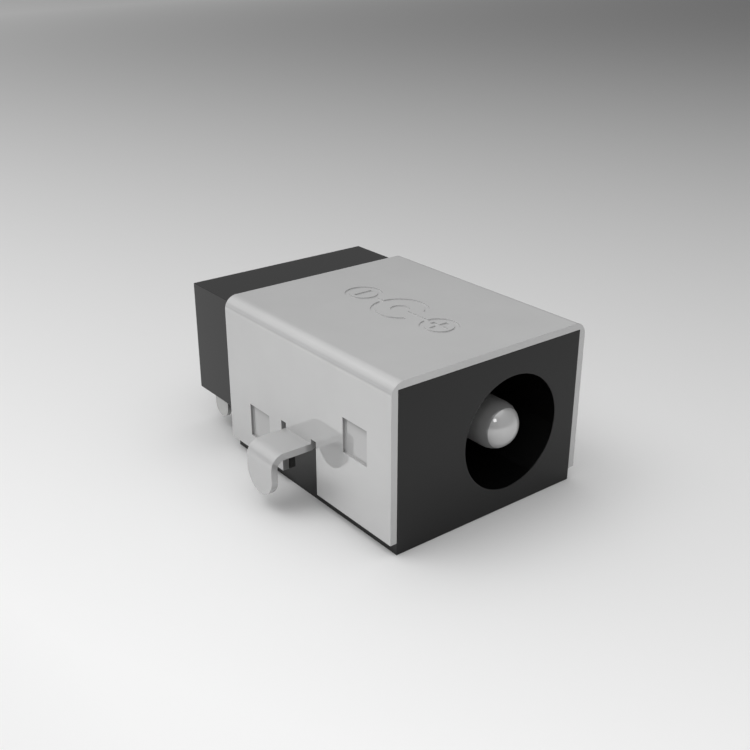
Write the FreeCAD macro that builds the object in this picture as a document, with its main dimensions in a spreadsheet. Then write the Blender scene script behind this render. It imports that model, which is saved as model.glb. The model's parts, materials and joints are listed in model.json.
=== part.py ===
import FreeCAD, Part
import os
import re
import Sketcher

# A switched DC barrel jack for a board cut-out, in millimetres.
# X points right as seen from the plug side, Y runs from the plug side to the rear, Z is up.
# Sizes along Y are measured from the front face; the whole jack is then moved back by half
# its length, so the origin is under the middle of the footprint.

PARTS_FOLDER = "parts"

DIMENSIONS = (
    ("housing_width", 11.4, "width of the front housing"),
    ("housing_height", 8.35, "height of the front housing"),
    ("housing_length", 13.8, "length of the front housing"),
    ("bore_offset", 1.34, "socket axis, right of the middle"),
    ("bore_height", 4.11, "socket axis, above the underside"),
    ("bore_radius", 2.975, "radius of the socket"),
    ("bore_depth", 10.2, "depth of the socket"),
    ("pin_radius", 1.25, "radius of the centre pin in the socket"),
    ("seat_radius", 1.5, "radius of the centre pin behind the socket's floor"),
    ("flange_radius", 1.8, "radius of the centre pin's flange"),
    ("flange_thickness", 1.0, "thickness of the centre pin's flange"),
    ("tail_radius", 0.8, "radius of the riveted tail"),
    ("rivet_lip", 0.3, "how far the rivet head stands out round the tail"),
    ("rivet_height", 0.45, "height of the rivet head"),
    ("pin_clearance", 0.02, "gap all round the centre pin in its seat"),
    ("cap_inset", 0.01, "how far each side of the rear cap lies inside the housing's side"),
    ("cap_drop", 0.05, "how far the rear cap's top lies under the housing's top"),
    ("axis_above_board", 2.04, "height of the socket axis above the board under the rear cap"),
    ("cap_floor", 0.5, "thickness of the rear cap's floor"),
    ("cap_side_wall", 0.35, "thickness of the rear cap's left wall"),
    ("cavity_gap", 0.7, "space in the rear cap above and to the right of the pin's terminal"),
    ("cap_rear_wall", 0.9, "thickness of the rear cap's rear wall"),
    ("peg_radius", 0.6, "radius of the cap's two pegs"),
    ("peg_length", 1.4, "length of the cap's two pegs"),
    ("peg_edge", 1.1, "distance of a peg's axis from the outer faces of its corner"),
    ("sheet", 0.37, "thickness of the shield's sheet"),
    ("shell_overhang", 0.05, "how far the shield reaches past the housing's rear face"),
    ("shell_lift", 0.65, "height of the shield's lower edge"),
    ("shell_clearance", 0.01, "gap between shield and housing at each side"),
    ("shell_bend", 0.7, "outer radius of the shield's two long bends"),
    ("emboss_size", 1.82, "side of each pressed-in square"),
    ("emboss_depth", 0.13, "how far each square is pressed in"),
    ("emboss_clearance", 0.08, "gap all round a pressed-in square in the housing"),
    ("front_emboss_depth", 2.65, "middle of the front square, behind the front face"),
    ("front_emboss_height", 4.88, "middle of the front square, above the underside"),
    ("rear_emboss_depth", 10.88, "middle of the rear square, behind the front face"),
    ("rear_emboss_height", 2.435, "middle of the rear square, above the underside"),
    ("hook_depth", 7.305, "middle of each hook leg, behind the front face"),
    ("hook_width", 2.2, "width of each hook leg"),
    ("hook_notch", 0.42, "width of the notch on each side of a hook leg"),
    ("hook_top", 3.3, "height of a hook leg's flat top"),
    ("hook_notch_rise", 0.27, "how far the notches rise above a hook leg's flat top"),
    ("hook_reach", 2.32, "how far a hook leg stands out from the shield's side"),
    ("hook_bend", 0.38, "inner radius of a hook leg's bend"),
    ("hook_tip", 0.89, "height of a hook leg's rounded tip"),
    ("hook_tip_flat", 0.01, "half the flat left in the middle of the rounded tip"),
    ("contact_thickness", 0.25, "thickness of the spring and of the break contact"),
    ("contact_clearance", 0.01, "gap beside each contact in its slot"),
    ("contact_gap", 0.02, "gap between the spring and the break contact's end"),
    ("leaf_height", 2.4, "width of the spring's leaf, across the socket axis"),
    ("channel_clearance", 0.2, "gap above and below the leaf in its channel"),
    ("channel_wall", 0.55, "thickness of the housing outside the channel"),
    ("channel_front_gap", 0.6, "gap in front of the leaf's free end"),
    ("root_bend", 2.0, "centreline radius of the leaf's bend at its root"),
    ("root_setback", 1.2, "start of the leaf's root bend, behind the housing's rear face"),
    ("bump_radius", 0.9, "centreline radius of the leaf's contact bump"),
    ("bump_depth", 6.6, "middle of the contact bump, behind the front face"),
    ("bump_reach", 2.4, "distance from the socket axis to the contact bump"),
    ("tail_lean", 30.0, "angle of the leaf's free end, in degrees"),
    ("tail_length", 1.8, "length of the leaf's free end"),
    ("break_wall", 0.66, "plastic between the break contact and the socket"),
    ("leg_width", 1.33, "width of the three solder legs"),
    ("leg_setback", 0.6, "front edge of the two side legs, behind the start of the root bend"),
    ("leg_rear_gap", 0.07, "gap between the side legs and the rear cap's rear wall"),
    ("leg_reach", 1.38, "how far the solder legs reach below the board's upper side"),
    ("terminal_thickness", 0.3, "thickness of the pin's terminal"),
    ("terminal_lip", 0.7, "width of the terminal's plate round the tail"),
    ("mark_depth", 0.06, "depth of the polarity mark in the shield's top"),
    ("mark_line", 0.26, "line width of the polarity mark"),
    ("mark_middle", 6.9, "middle of the polarity mark, behind the front face"),
    ("mark_pitch", 3.0, "distance from the mark's middle to each sign"),
    ("mark_ring", 1.0, "outer radius of the ring round each sign"),
    ("mark_arc", 1.5, "outer radius of the mark's open middle arc"),
    ("mark_opening", 1.3, "width of the gap in the middle arc"),
    ("mark_dot", 0.5, "radius of the mark's dot"),
    ("mark_sign", 0.55, "half the length of the plus and minus strokes"),
)

doc = FreeCAD.newDocument("barrel_jack")
sizes = doc.addObject("Spreadsheet::Sheet", "Sizes")
for row, (alias, number, note) in enumerate(DIMENSIONS, start=1):
    sizes.set(f"A{row}", alias.replace("_", " "))
    sizes.set(f"B{row}", str(number))
    sizes.setAlias(f"B{row}", alias)
    sizes.set(f"C{row}", note)
doc.recompute()

ALIASES = {alias for alias, number, note in DIMENSIONS}

# Places that several pieces share, as formulas on the sheet's names.
ROOT_DEPTH = "(housing_length + root_setback)"
LEG_FRONT = f"({ROOT_DEPTH} + leg_setback)"
LEG_REAR = f"({LEG_FRONT} + leg_width)"
CAVITY_REAR = f"({LEG_REAR} + leg_rear_gap)"
LENGTH = f"({CAVITY_REAR} + cap_rear_wall)"
HALF_WIDTH = "(housing_width / 2)"
SHELL_INSIDE = "(housing_width / 2 + shell_clearance)"
SHELL_OUTSIDE = "(housing_width / 2 + shell_clearance + sheet)"
SHELL_TOP = "(housing_height + sheet)"
HOOK_OUTSIDE = "(housing_width / 2 + shell_clearance + sheet + hook_reach)"
NOTCH_TOP = "(hook_top + hook_notch_rise)"
CAP_SIDE = "(housing_width / 2 - cap_inset)"
CAP_TOP = "(housing_height - cap_drop)"
BOARD = "(bore_height - axis_above_board)"
CAP_FLOOR_TOP = f"({BOARD} + cap_floor)"
SPRING_LEFT = f"(-{CAP_SIDE} + cap_side_wall + contact_clearance)"
BREAK_RIGHT = "(bore_offset - bore_radius - break_wall)"
LEAF_LOW = "(bore_height - leaf_height / 2)"
LEAF_HIGH = "(bore_height + leaf_height / 2)"
LEG_TIP = f"({BOARD} - leg_reach)"
LEG_ROUND = f"({LEG_TIP} + leg_width / 2)"
TERMINAL_HALF = "(tail_radius + terminal_lip)"

# The leaf runs straight between its root bend and its bump: the common tangent of the two.
ROOT_X = f"({SPRING_LEFT} + contact_thickness / 2)"
ROOT_CENTRE_X = f"({ROOT_X} + root_bend)"
BUMP_CENTRE_X = "(bore_offset - bump_reach - contact_thickness / 2 - bump_radius)"
LEAF_RUN_X = f"({BUMP_CENTRE_X} - {ROOT_CENTRE_X})"
LEAF_RUN_Y = f"({ROOT_DEPTH} - bump_depth)"
LEAF_SPAN = f"sqrt({LEAF_RUN_X} ^ 2 + {LEAF_RUN_Y} ^ 2)"
LEAF_LEAN = f"(atan({LEAF_RUN_X} / {LEAF_RUN_Y}) + asin((root_bend + bump_radius) / {LEAF_SPAN}))"
FREE_END_X = f"({BUMP_CENTRE_X} + bump_radius * cos(tail_lean) - tail_length * sin(tail_lean))"
FREE_END_Y = "(bump_depth - bump_radius * sin(tail_lean) - tail_length * cos(tail_lean))"

# The break contact ends where its inner face meets the leaf.
LEAF_FACE = "(root_bend - contact_thickness / 2)"
LEAF_FACE_X = f"({ROOT_CENTRE_X} - {LEAF_FACE} * cos({LEAF_LEAN}))"
LEAF_FACE_Y = f"({ROOT_DEPTH} - {LEAF_FACE} * sin({LEAF_LEAN}))"
BREAK_LEFT = f"({BREAK_RIGHT} - contact_thickness)"
BREAK_FRONT = f"({LEAF_FACE_Y} - ({BREAK_LEFT} - contact_gap - {LEAF_FACE_X}) / tan({LEAF_LEAN}))"

PEGS = (
    (f"(-{CAP_SIDE} + peg_edge + cap_side_wall)", f"({CAP_TOP} - peg_edge)"),
    (f"({CAP_SIDE} - peg_edge)", f"({CAP_FLOOR_TOP} + peg_edge)"),
)
EMBOSSES = (
    ("front_emboss_depth", "front_emboss_height"),
    ("rear_emboss_depth", "rear_emboss_height"),
)
SIDES = (("left", -1), ("right", 1))

CLOSE = 0.001


def expand(formula):
    """Turn sheet names in a formula into references to the sheet's cells."""
    def cell_of(word):
        return f"Sizes.{word[0]}" if word[0] in ALIASES else word[0]

    return re.sub(r"[a-z_]+", cell_of, formula)


def number_of(formula):
    """Work a formula out as a plain number."""
    result = sizes.evalExpression(expand(formula))
    return float(getattr(result, "Value", result))


def bind(item, prop, formula):
    """Bind one property of an object to a formula."""
    item.setExpression(prop, expand(formula))


def new_body(name, offset_x="0", offset_z="0"):
    """Start a sub-part whose own Y zero is the jack's front face."""
    body = doc.addObject("PartDesign::Body", name)
    body.Label = name
    bind(body, "Placement.Base.x", offset_x)
    bind(body, "Placement.Base.y", f"-{LENGTH} / 2")
    bind(body, "Placement.Base.z", offset_z)
    return body


def new_sketch(body, name, role, offset="0"):
    """Attach a sketch to one of the body's own planes, moved along the plane's normal."""
    sketch = body.newObject("Sketcher::SketchObject", name)
    plane = next(item for item in body.Origin.OriginFeatures if item.Role == role)
    sketch.AttachmentSupport = [(plane, "")]
    sketch.MapMode = "FlatFace"
    bind(sketch, "AttachmentOffset.Base.z", offset)
    return sketch


def constrain(sketch, kind, *where, formula):
    """Add a dimension to a sketch and bind it to a formula."""
    index = sketch.addConstraint(Sketcher.Constraint(kind, *where, number_of(formula)))
    bind(sketch, f"Constraints[{index}]", formula)


def place(sketch, curve, point, across, up):
    """Fix a point of a curve by its two coordinates in the sketch."""
    constrain(sketch, "DistanceX", -1, 1, curve, point, formula=across)
    constrain(sketch, "DistanceY", -1, 1, curve, point, formula=up)


def vector(across, up):
    """Give the start value of a sketch point."""
    return FreeCAD.Vector(number_of(across), number_of(up), 0)


def join(sketch, first, second, kind="Coincident"):
    """Join two curves at the ends that already lie together."""
    def gap(pair):
        return (sketch.getPoint(first, pair[0]) - sketch.getPoint(second, pair[1])).Length

    end_of_first, end_of_second = min(((1, 1), (1, 2), (2, 1), (2, 2)), key=gap)
    sketch.addConstraint(Sketcher.Constraint(kind, first, end_of_first, second, end_of_second))


def add_chain(sketch, curves, closed=True, kind="Coincident"):
    """Draw curves that follow one another and join them; give back their numbers."""
    numbers = [sketch.addGeometry(curve, False) for curve in curves]
    for first, second in zip(numbers, numbers[1:]):
        join(sketch, first, second, kind)
    if closed:
        join(sketch, numbers[-1], numbers[0], kind)
    return numbers


def add_polygon(sketch, corners):
    """Draw a closed outline through corners that are pairs of formulas."""
    points = [vector(*corner) for corner in corners]
    lines = [Part.LineSegment(start, end) for start, end in zip(points, points[1:] + points[:1])]
    for number, corner in zip(add_chain(sketch, lines), corners):
        place(sketch, number, 1, *corner)


def add_rectangle(sketch, left, low, right, high):
    """Draw a rectangle between two corners."""
    add_polygon(sketch, ((left, low), (right, low), (right, high), (left, high)))


def add_circle(sketch, across, up, radius):
    """Draw a circle."""
    circle = Part.Circle(vector(across, up), FreeCAD.Vector(0, 0, 1), number_of(radius))
    number = sketch.addGeometry(circle, False)
    place(sketch, number, 3, across, up)
    constrain(sketch, "Radius", number, formula=radius)


def add_blade(sketch, corners, tip):
    """Draw four corners closed by a half round tip from the last corner to the first."""
    points = [vector(*corner) for corner in corners]
    bottom = FreeCAD.Vector((points[0].x + points[-1].x) / 2, number_of(tip), 0)
    curves = [Part.LineSegment(start, end) for start, end in zip(points, points[1:])]
    curves.append(Part.Arc(points[-1], bottom, points[0]))
    numbers = add_chain(sketch, curves)
    for number, corner in zip(numbers, corners[:-1]):
        place(sketch, number, 1, *corner)
    place(sketch, numbers[-2], 2, *corners[-1])
    constrain(sketch, "DistanceY", -1, 1, numbers[-1], 3, formula=corners[0][1])


def extrude(body, kind, name, sketch, length=None, flip=False, midplane=False):
    """Pad or pocket a sketch; no length cuts through everything."""
    before = body.Shape.Volume if body.Tip else 0.0
    feature = body.newObject(f"PartDesign::{kind}", name)
    feature.Profile = sketch
    feature.Reversed = flip
    feature.Midplane = midplane
    if length is None:
        feature.Type = "ThroughAll"
    else:
        bind(feature, "Length", length)
    sketch.Visibility = False
    doc.recompute()
    grown = body.Shape.Volume - before
    if (grown <= 0) == (kind == "Pad"):
        raise RuntimeError(f"{body.Label}: {name} changed the volume by {grown:.4f}")
    return feature


def fillet(body, name, radius, wanted):
    """Round the edges of the body's last feature whose middle point passes the test."""
    base = body.Tip
    edges = []
    for number, edge in enumerate(base.Shape.Edges, start=1):
        middle = edge.valueAt((edge.FirstParameter + edge.LastParameter) / 2)
        if wanted(edge, middle):
            edges.append(f"Edge{number}")
    if not edges:
        raise RuntimeError(f"{body.Label}: {name} found no edge")
    feature = body.newObject("PartDesign::Fillet", name)
    feature.Base = (base, edges)
    bind(feature, "Radius", radius)
    doc.recompute()
    return feature


def near(first, second):
    """Say whether two places agree to a thousandth of a millimetre."""
    return abs(first - second) < CLOSE


def runs_along(edge, axis):
    """Say whether an edge is straight and parallel to one axis."""
    if edge.Curve.TypeId != "Part::GeomLine":
        return False
    return near(abs(getattr(edge.Curve.Direction, axis)), 1)


def make_front_housing():
    """The moulded body: socket, pin seat, spring channel, peg holes and pockets for the shield."""
    body = new_body("front_housing")
    block = new_sketch(body, "housing_outline", "XZ_Plane")
    add_rectangle(block, f"-{HALF_WIDTH}", "0", HALF_WIDTH, "housing_height")
    extrude(body, "Pad", "housing_block", block, "housing_length", flip=True)

    socket = new_sketch(body, "socket_outline", "XZ_Plane")
    add_circle(socket, "bore_offset", "bore_height", "bore_radius")
    extrude(body, "Pocket", "socket", socket, "bore_depth")

    seat = new_sketch(body, "pin_seat_outline", "XZ_Plane")
    add_circle(seat, "bore_offset", "bore_height", "seat_radius + pin_clearance")
    extrude(body, "Pocket", "pin_seat", seat)

    recess = new_sketch(body, "flange_recess_outline", "XZ_Plane", "-housing_length")
    add_circle(recess, "bore_offset", "bore_height", "flange_radius + pin_clearance")
    extrude(body, "Pocket", "flange_recess", recess, "flange_thickness", flip=True)

    channel_low = "(bore_height - leaf_height / 2 - channel_clearance)"
    channel_left = f"(-{HALF_WIDTH} + channel_wall)"
    channel_front = f"({FREE_END_Y} - channel_front_gap)"
    channel = new_sketch(body, "channel_outline", "XY_Plane", channel_low)
    add_polygon(channel, (
        (channel_left, channel_front),
        ("bore_offset", channel_front),
        ("bore_offset", BREAK_FRONT),
        (BREAK_RIGHT, BREAK_FRONT),
        (BREAK_RIGHT, "housing_length"),
        (channel_left, "housing_length"),
    ))
    height = "(leaf_height + 2 * channel_clearance)"
    extrude(body, "Pocket", "spring_channel", channel, height, flip=True)

    pegs = new_sketch(body, "peg_holes_outline", "XZ_Plane", "-housing_length")
    for across, up in PEGS:
        add_circle(pegs, across, up, "peg_radius + pin_clearance")
    extrude(body, "Pocket", "peg_holes", pegs, "peg_length + pin_clearance", flip=True)

    half = "(emboss_size / 2 + emboss_clearance)"
    for side, sign in SIDES:
        pockets = new_sketch(body, f"{side}_square_pockets_outline", "YZ_Plane", f"{sign} * {HALF_WIDTH}")
        for along, up in EMBOSSES:
            add_rectangle(pockets, f"{along} - {half}", f"{up} - {half}",
                          f"{along} + {half}", f"{up} + {half}")
        depth = "emboss_depth + emboss_clearance"
        extrude(body, "Pocket", f"{side}_square_pockets", pockets, depth, flip=sign < 0)
    return body


def make_rear_cap():
    """The raised cap behind the housing, hollow for the terminals, with slots for their legs."""
    body = new_body("rear_cap")
    block = new_sketch(body, "cap_outline", "XZ_Plane", "-housing_length")
    add_rectangle(block, f"-{CAP_SIDE}", BOARD, CAP_SIDE, CAP_TOP)
    extrude(body, "Pad", "cap_block", block, f"{LENGTH} - housing_length", flip=True)

    cavity = new_sketch(body, "cavity_outline", "XZ_Plane", "-housing_length")
    add_rectangle(cavity, f"-{CAP_SIDE} + cap_side_wall", CAP_FLOOR_TOP,
                  f"bore_offset + {TERMINAL_HALF} + cavity_gap",
                  f"bore_height + {TERMINAL_HALF} + cavity_gap")
    extrude(body, "Pocket", "cavity", cavity, f"{CAVITY_REAR} - housing_length")

    slots = new_sketch(body, "leg_slots_outline", "XY_Plane", CAP_FLOOR_TOP)
    for left in (SPRING_LEFT, BREAK_LEFT):
        add_rectangle(slots, f"{left} - contact_clearance", f"{LEG_FRONT} - contact_clearance",
                      f"{left} + contact_thickness + contact_clearance",
                      f"{LEG_REAR} + contact_clearance")
    add_rectangle(slots, f"bore_offset - {TERMINAL_HALF} - contact_clearance", "housing_length",
                  f"bore_offset + {TERMINAL_HALF} + contact_clearance",
                  "housing_length + terminal_thickness + contact_clearance")
    extrude(body, "Pocket", "leg_slots", slots, "cap_floor")

    pegs = new_sketch(body, "pegs_outline", "XZ_Plane", "-housing_length")
    for across, up in PEGS:
        add_circle(pegs, across, up, "peg_radius")
    extrude(body, "Pad", "pegs", pegs, "peg_length")
    return body


def make_shield_shell():
    """The folded sheet: a U over the housing, pressed-in squares, hook legs and polarity mark."""
    body = new_body("shield_shell")
    fold = new_sketch(body, "fold_outline", "XZ_Plane")
    add_polygon(fold, (
        (f"-{SHELL_OUTSIDE}", "shell_lift"),
        (f"-{SHELL_INSIDE}", "shell_lift"),
        (f"-{SHELL_INSIDE}", "housing_height"),
        (SHELL_INSIDE, "housing_height"),
        (SHELL_INSIDE, "shell_lift"),
        (SHELL_OUTSIDE, "shell_lift"),
        (SHELL_OUTSIDE, SHELL_TOP),
        (f"-{SHELL_OUTSIDE}", SHELL_TOP),
    ))
    extrude(body, "Pad", "fold", fold, "housing_length + shell_overhang", flip=True)
    top = number_of(SHELL_TOP)
    outside = number_of(SHELL_OUTSIDE)
    fillet(body, "long_bends", "shell_bend", lambda edge, middle:
           runs_along(edge, "y") and near(middle.z, top) and near(abs(middle.x), outside))

    notch = "(hook_width / 2 + hook_notch)"
    window = new_sketch(body, "hook_window_outline", "YZ_Plane")
    add_rectangle(window, f"hook_depth - {notch}", "shell_lift - sheet",
                  f"hook_depth + {notch}", NOTCH_TOP)
    extrude(body, "Pocket", "hook_windows", window, f"2 * {HOOK_OUTSIDE}", midplane=True)

    hooks = new_sketch(body, "hook_outline", "XZ_Plane", "-(hook_depth - hook_width / 2)")
    for side, sign in SIDES:
        add_polygon(hooks, (
            (f"{sign} * {SHELL_INSIDE}", NOTCH_TOP),
            (f"{sign} * {SHELL_INSIDE}", "hook_top - sheet"),
            (f"{sign} * ({HOOK_OUTSIDE} - sheet)", "hook_top - sheet"),
            (f"{sign} * ({HOOK_OUTSIDE} - sheet)", "hook_tip"),
            (f"{sign} * {HOOK_OUTSIDE}", "hook_tip"),
            (f"{sign} * {HOOK_OUTSIDE}", "hook_top"),
            (f"{sign} * {SHELL_OUTSIDE}", "hook_top"),
            (f"{sign} * {SHELL_OUTSIDE}", NOTCH_TOP),
        ))
    extrude(body, "Pad", "hooks", hooks, "hook_width", flip=True)
    hook_top = number_of("hook_top")
    under = number_of("hook_top - sheet")
    tip = number_of("hook_tip")
    inside = number_of(SHELL_INSIDE)
    reach = number_of(HOOK_OUTSIDE)
    inner_reach = number_of(f"{HOOK_OUTSIDE} - sheet")
    fillet(body, "hook_outer_bends", "hook_bend + sheet", lambda edge, middle:
           runs_along(edge, "y") and near(middle.z, hook_top) and near(abs(middle.x), reach))
    fillet(body, "hook_inner_bends", "hook_bend", lambda edge, middle:
           runs_along(edge, "y") and near(middle.z, under) and near(abs(middle.x), inner_reach))
    fillet(body, "hook_root_bends", "sheet", lambda edge, middle:
           runs_along(edge, "y") and near(middle.z, under) and near(abs(middle.x), inside))
    fillet(body, "hook_tips", "hook_width / 2 - hook_tip_flat", lambda edge, middle:
           runs_along(edge, "x") and near(middle.z, tip))

    half = "emboss_size / 2"
    for side, sign in SIDES:
        inside_face = f"{sign} * {SHELL_INSIDE}"
        outside_face = f"{sign} * {SHELL_OUTSIDE}"
        raised = new_sketch(body, f"{side}_squares_inside_outline", "YZ_Plane", inside_face)
        pressed = new_sketch(body, f"{side}_squares_outline", "YZ_Plane", outside_face)
        for along, up in EMBOSSES:
            for sketch in (raised, pressed):
                add_rectangle(sketch, f"{along} - {half}", f"{up} - {half}",
                              f"{along} + {half}", f"{up} + {half}")
        extrude(body, "Pad", f"{side}_squares_inside", raised, "emboss_depth", flip=sign > 0)
        extrude(body, "Pocket", f"{side}_squares", pressed, "emboss_depth", flip=sign < 0)
    add_polarity_mark(body)
    return body


def add_polarity_mark(body):
    """Engrave the centre-positive symbol: minus ring, open arc round a dot, plus ring."""
    rings = new_sketch(body, "mark_rings_outline", "XY_Plane", SHELL_TOP)
    for sign in (-1, 1):
        middle = f"(mark_middle + {sign} * mark_pitch)"
        add_circle(rings, "0", middle, "mark_ring")
        add_circle(rings, "0", middle, "mark_ring - mark_line")
    add_circle(rings, "0", "mark_middle", "mark_dot")
    add_open_arc(rings)
    extrude(body, "Pocket", "mark_rings", rings, "mark_depth")

    strokes = new_sketch(body, "mark_strokes_outline", "XY_Plane", SHELL_TOP)
    half = "mark_line / 2"
    plus = "(mark_middle - mark_pitch)"
    minus = "(mark_middle + mark_pitch)"
    add_rectangle(strokes, f"-{half}", f"{plus} + mark_ring - {half}", half, "mark_middle")
    add_rectangle(strokes, f"-{half}", f"mark_middle + mark_arc - {half}",
                  half, f"{minus} - mark_ring + {half}")
    add_rectangle(strokes, "-mark_sign", f"{minus} - {half}", "mark_sign", f"{minus} + {half}")
    add_polygon(strokes, (
        ("-mark_sign", f"{plus} - {half}"),
        (f"-{half}", f"{plus} - {half}"),
        (f"-{half}", f"{plus} - mark_sign"),
        (half, f"{plus} - mark_sign"),
        (half, f"{plus} - {half}"),
        ("mark_sign", f"{plus} - {half}"),
        ("mark_sign", f"{plus} + {half}"),
        (half, f"{plus} + {half}"),
        (half, f"{plus} + mark_sign"),
        (f"-{half}", f"{plus} + mark_sign"),
        (f"-{half}", f"{plus} + {half}"),
        ("-mark_sign", f"{plus} + {half}"),
    ))
    extrude(body, "Pocket", "mark_strokes", strokes, "mark_depth")


def add_open_arc(sketch):
    """Draw the mark's middle arc, open towards the plus sign."""
    inner = "(mark_arc - mark_line)"
    half_gap = "(mark_opening / 2)"
    outer_low = f"(mark_middle - sqrt(mark_arc ^ 2 - {half_gap} ^ 2))"
    inner_low = f"(mark_middle - sqrt({inner} ^ 2 - {half_gap} ^ 2))"
    corners = ((half_gap, outer_low), (f"-{half_gap}", outer_low),
               (f"-{half_gap}", inner_low), (half_gap, inner_low))
    points = [vector(*corner) for corner in corners]
    numbers = add_chain(sketch, (
        Part.Arc(points[0], vector("0", "mark_middle + mark_arc"), points[1]),
        Part.LineSegment(points[1], points[2]),
        Part.Arc(points[2], vector("0", f"mark_middle + {inner}"), points[3]),
        Part.LineSegment(points[3], points[0]),
    ))
    for arc, radius in ((numbers[0], "mark_arc"), (numbers[2], inner)):
        place(sketch, arc, 3, "0", "mark_middle")
        constrain(sketch, "Radius", arc, formula=radius)
    for line, across in ((numbers[1], f"-{half_gap}"), (numbers[3], half_gap)):
        for end in (1, 2):
            constrain(sketch, "DistanceX", -1, 1, line, end, formula=across)


def make_center_pin():
    """The turned pin on its own axis: domed end, shank, seat, flange, tail and rivet head."""
    body = new_body("center_pin", "bore_offset", "bore_height")
    profile = new_sketch(body, "pin_profile", "XY_Plane")
    rivet_seat = "(housing_length + terminal_thickness)"
    corners = (
        ("pin_radius", "pin_radius"),
        ("pin_radius", "bore_depth"),
        ("seat_radius", "bore_depth"),
        ("seat_radius", "housing_length - flange_thickness"),
        ("flange_radius", "housing_length - flange_thickness"),
        ("flange_radius", "housing_length"),
        ("tail_radius", "housing_length"),
        ("tail_radius", rivet_seat),
        ("tail_radius + rivet_lip", rivet_seat),
        ("tail_radius", f"{rivet_seat} + rivet_height"),
        ("0", f"{rivet_seat} + rivet_height"),
        ("0", "0"),
    )
    points = [vector(*corner) for corner in corners]
    curves = [Part.LineSegment(start, end) for start, end in zip(points, points[1:])]
    halfway = vector("pin_radius * sin(45)", "pin_radius * (1 - cos(45))")
    curves.append(Part.Arc(points[-1], halfway, points[0]))
    numbers = add_chain(profile, curves)
    for number, corner in zip(numbers, corners[:-1]):
        place(profile, number, 1, *corner)
    place(profile, numbers[-2], 2, *corners[-1])
    constrain(profile, "DistanceY", -1, 1, numbers[-1], 3, formula="pin_radius")
    turned = body.newObject("PartDesign::Revolution", "turned_pin")
    turned.Profile = profile
    turned.ReferenceAxis = (profile, ["V_Axis"])
    turned.Angle = 360
    profile.Visibility = False
    doc.recompute()
    return body


def make_pin_terminal():
    """The flat plate riveted to the pin's tail: round head, shoulders at board level and leg."""
    body = new_body("pin_terminal", "bore_offset")
    head = new_sketch(body, "head_outline", "XZ_Plane", "-housing_length")
    add_circle(head, "0", "bore_height", TERMINAL_HALF)
    extrude(body, "Pad", "head", head, "terminal_thickness", flip=True)

    half = "(leg_width / 2)"
    plate = new_sketch(body, "plate_outline", "XZ_Plane", "-housing_length")
    add_blade(plate, (
        (f"-{half}", LEG_ROUND),
        (f"-{half}", BOARD),
        (f"-{TERMINAL_HALF}", BOARD),
        (f"-{TERMINAL_HALF}", "bore_height"),
        (TERMINAL_HALF, "bore_height"),
        (TERMINAL_HALF, BOARD),
        (half, BOARD),
        (half, LEG_ROUND),
    ), LEG_TIP)
    extrude(body, "Pad", "plate", plate, "terminal_thickness", flip=True)

    hole = new_sketch(body, "tail_hole_outline", "XZ_Plane")
    add_circle(hole, "0", "bore_height", "tail_radius")
    extrude(body, "Pocket", "tail_hole", hole)
    return body


def make_sleeve_spring():
    """The leaf spring: a leaf with a bump into the socket, and a leg down from its root."""
    body = new_body("sleeve_spring")
    leg = new_sketch(body, "leg_outline", "YZ_Plane", SPRING_LEFT)
    add_blade(leg, (
        (LEG_REAR, LEG_ROUND),
        (LEG_REAR, LEAF_HIGH),
        (LEG_FRONT, LEAF_HIGH),
        (LEG_FRONT, LEG_ROUND),
    ), LEG_TIP)
    extrude(body, "Pad", "leg", leg, "contact_thickness")

    section = new_sketch(body, "leaf_section", "XZ_Plane", f"-{LEG_REAR}")
    add_rectangle(section, SPRING_LEFT, LEAF_LOW, f"{SPRING_LEFT} + contact_thickness", LEAF_HIGH)
    route = new_sketch(body, "leaf_route", "XY_Plane", "bore_height")
    draw_leaf_route(route)
    doc.recompute()
    leaf = body.newObject("PartDesign::AdditivePipe", "leaf")
    leaf.Profile = section
    leaf.Spine = route
    section.Visibility = False
    route.Visibility = False
    doc.recompute()
    return body


def draw_leaf_route(route):
    """Draw the leaf's centreline: root, root bend, straight run, bump and free end."""
    root_centre = vector(ROOT_CENTRE_X, ROOT_DEPTH)
    bump_centre = vector(BUMP_CENTRE_X, "bump_depth")
    root = vector(ROOT_X, LEG_REAR)
    bend_start = vector(ROOT_X, ROOT_DEPTH)
    halfway = vector(f"cos({LEAF_LEAN} / 2)", f"sin({LEAF_LEAN} / 2)")
    aside = vector(f"cos({LEAF_LEAN})", f"sin({LEAF_LEAN})")
    bend_middle = root_centre - halfway * number_of("root_bend")
    bend_end = root_centre - aside * number_of("root_bend")
    bump_start = bump_centre + aside * number_of("bump_radius")
    crest = bump_centre + vector("bump_radius", "0")
    bump_end = bump_centre + vector("bump_radius * cos(tail_lean)", "-bump_radius * sin(tail_lean)")
    free_end = vector(FREE_END_X, FREE_END_Y)
    numbers = add_chain(route, (
        Part.LineSegment(root, bend_start),
        Part.Arc(bend_start, bend_middle, bend_end),
        Part.LineSegment(bend_end, bump_start),
        Part.Arc(bump_start, crest, bump_end),
        Part.LineSegment(bump_end, free_end),
    ), closed=False, kind="Tangent")
    place(route, numbers[0], 1, ROOT_X, LEG_REAR)
    place(route, numbers[0], 2, ROOT_X, ROOT_DEPTH)
    constrain(route, "Radius", numbers[1], formula="root_bend")
    constrain(route, "Radius", numbers[3], formula="bump_radius")
    place(route, numbers[3], 3, BUMP_CENTRE_X, "bump_depth")
    place(route, numbers[4], 2, FREE_END_X, FREE_END_Y)


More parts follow.
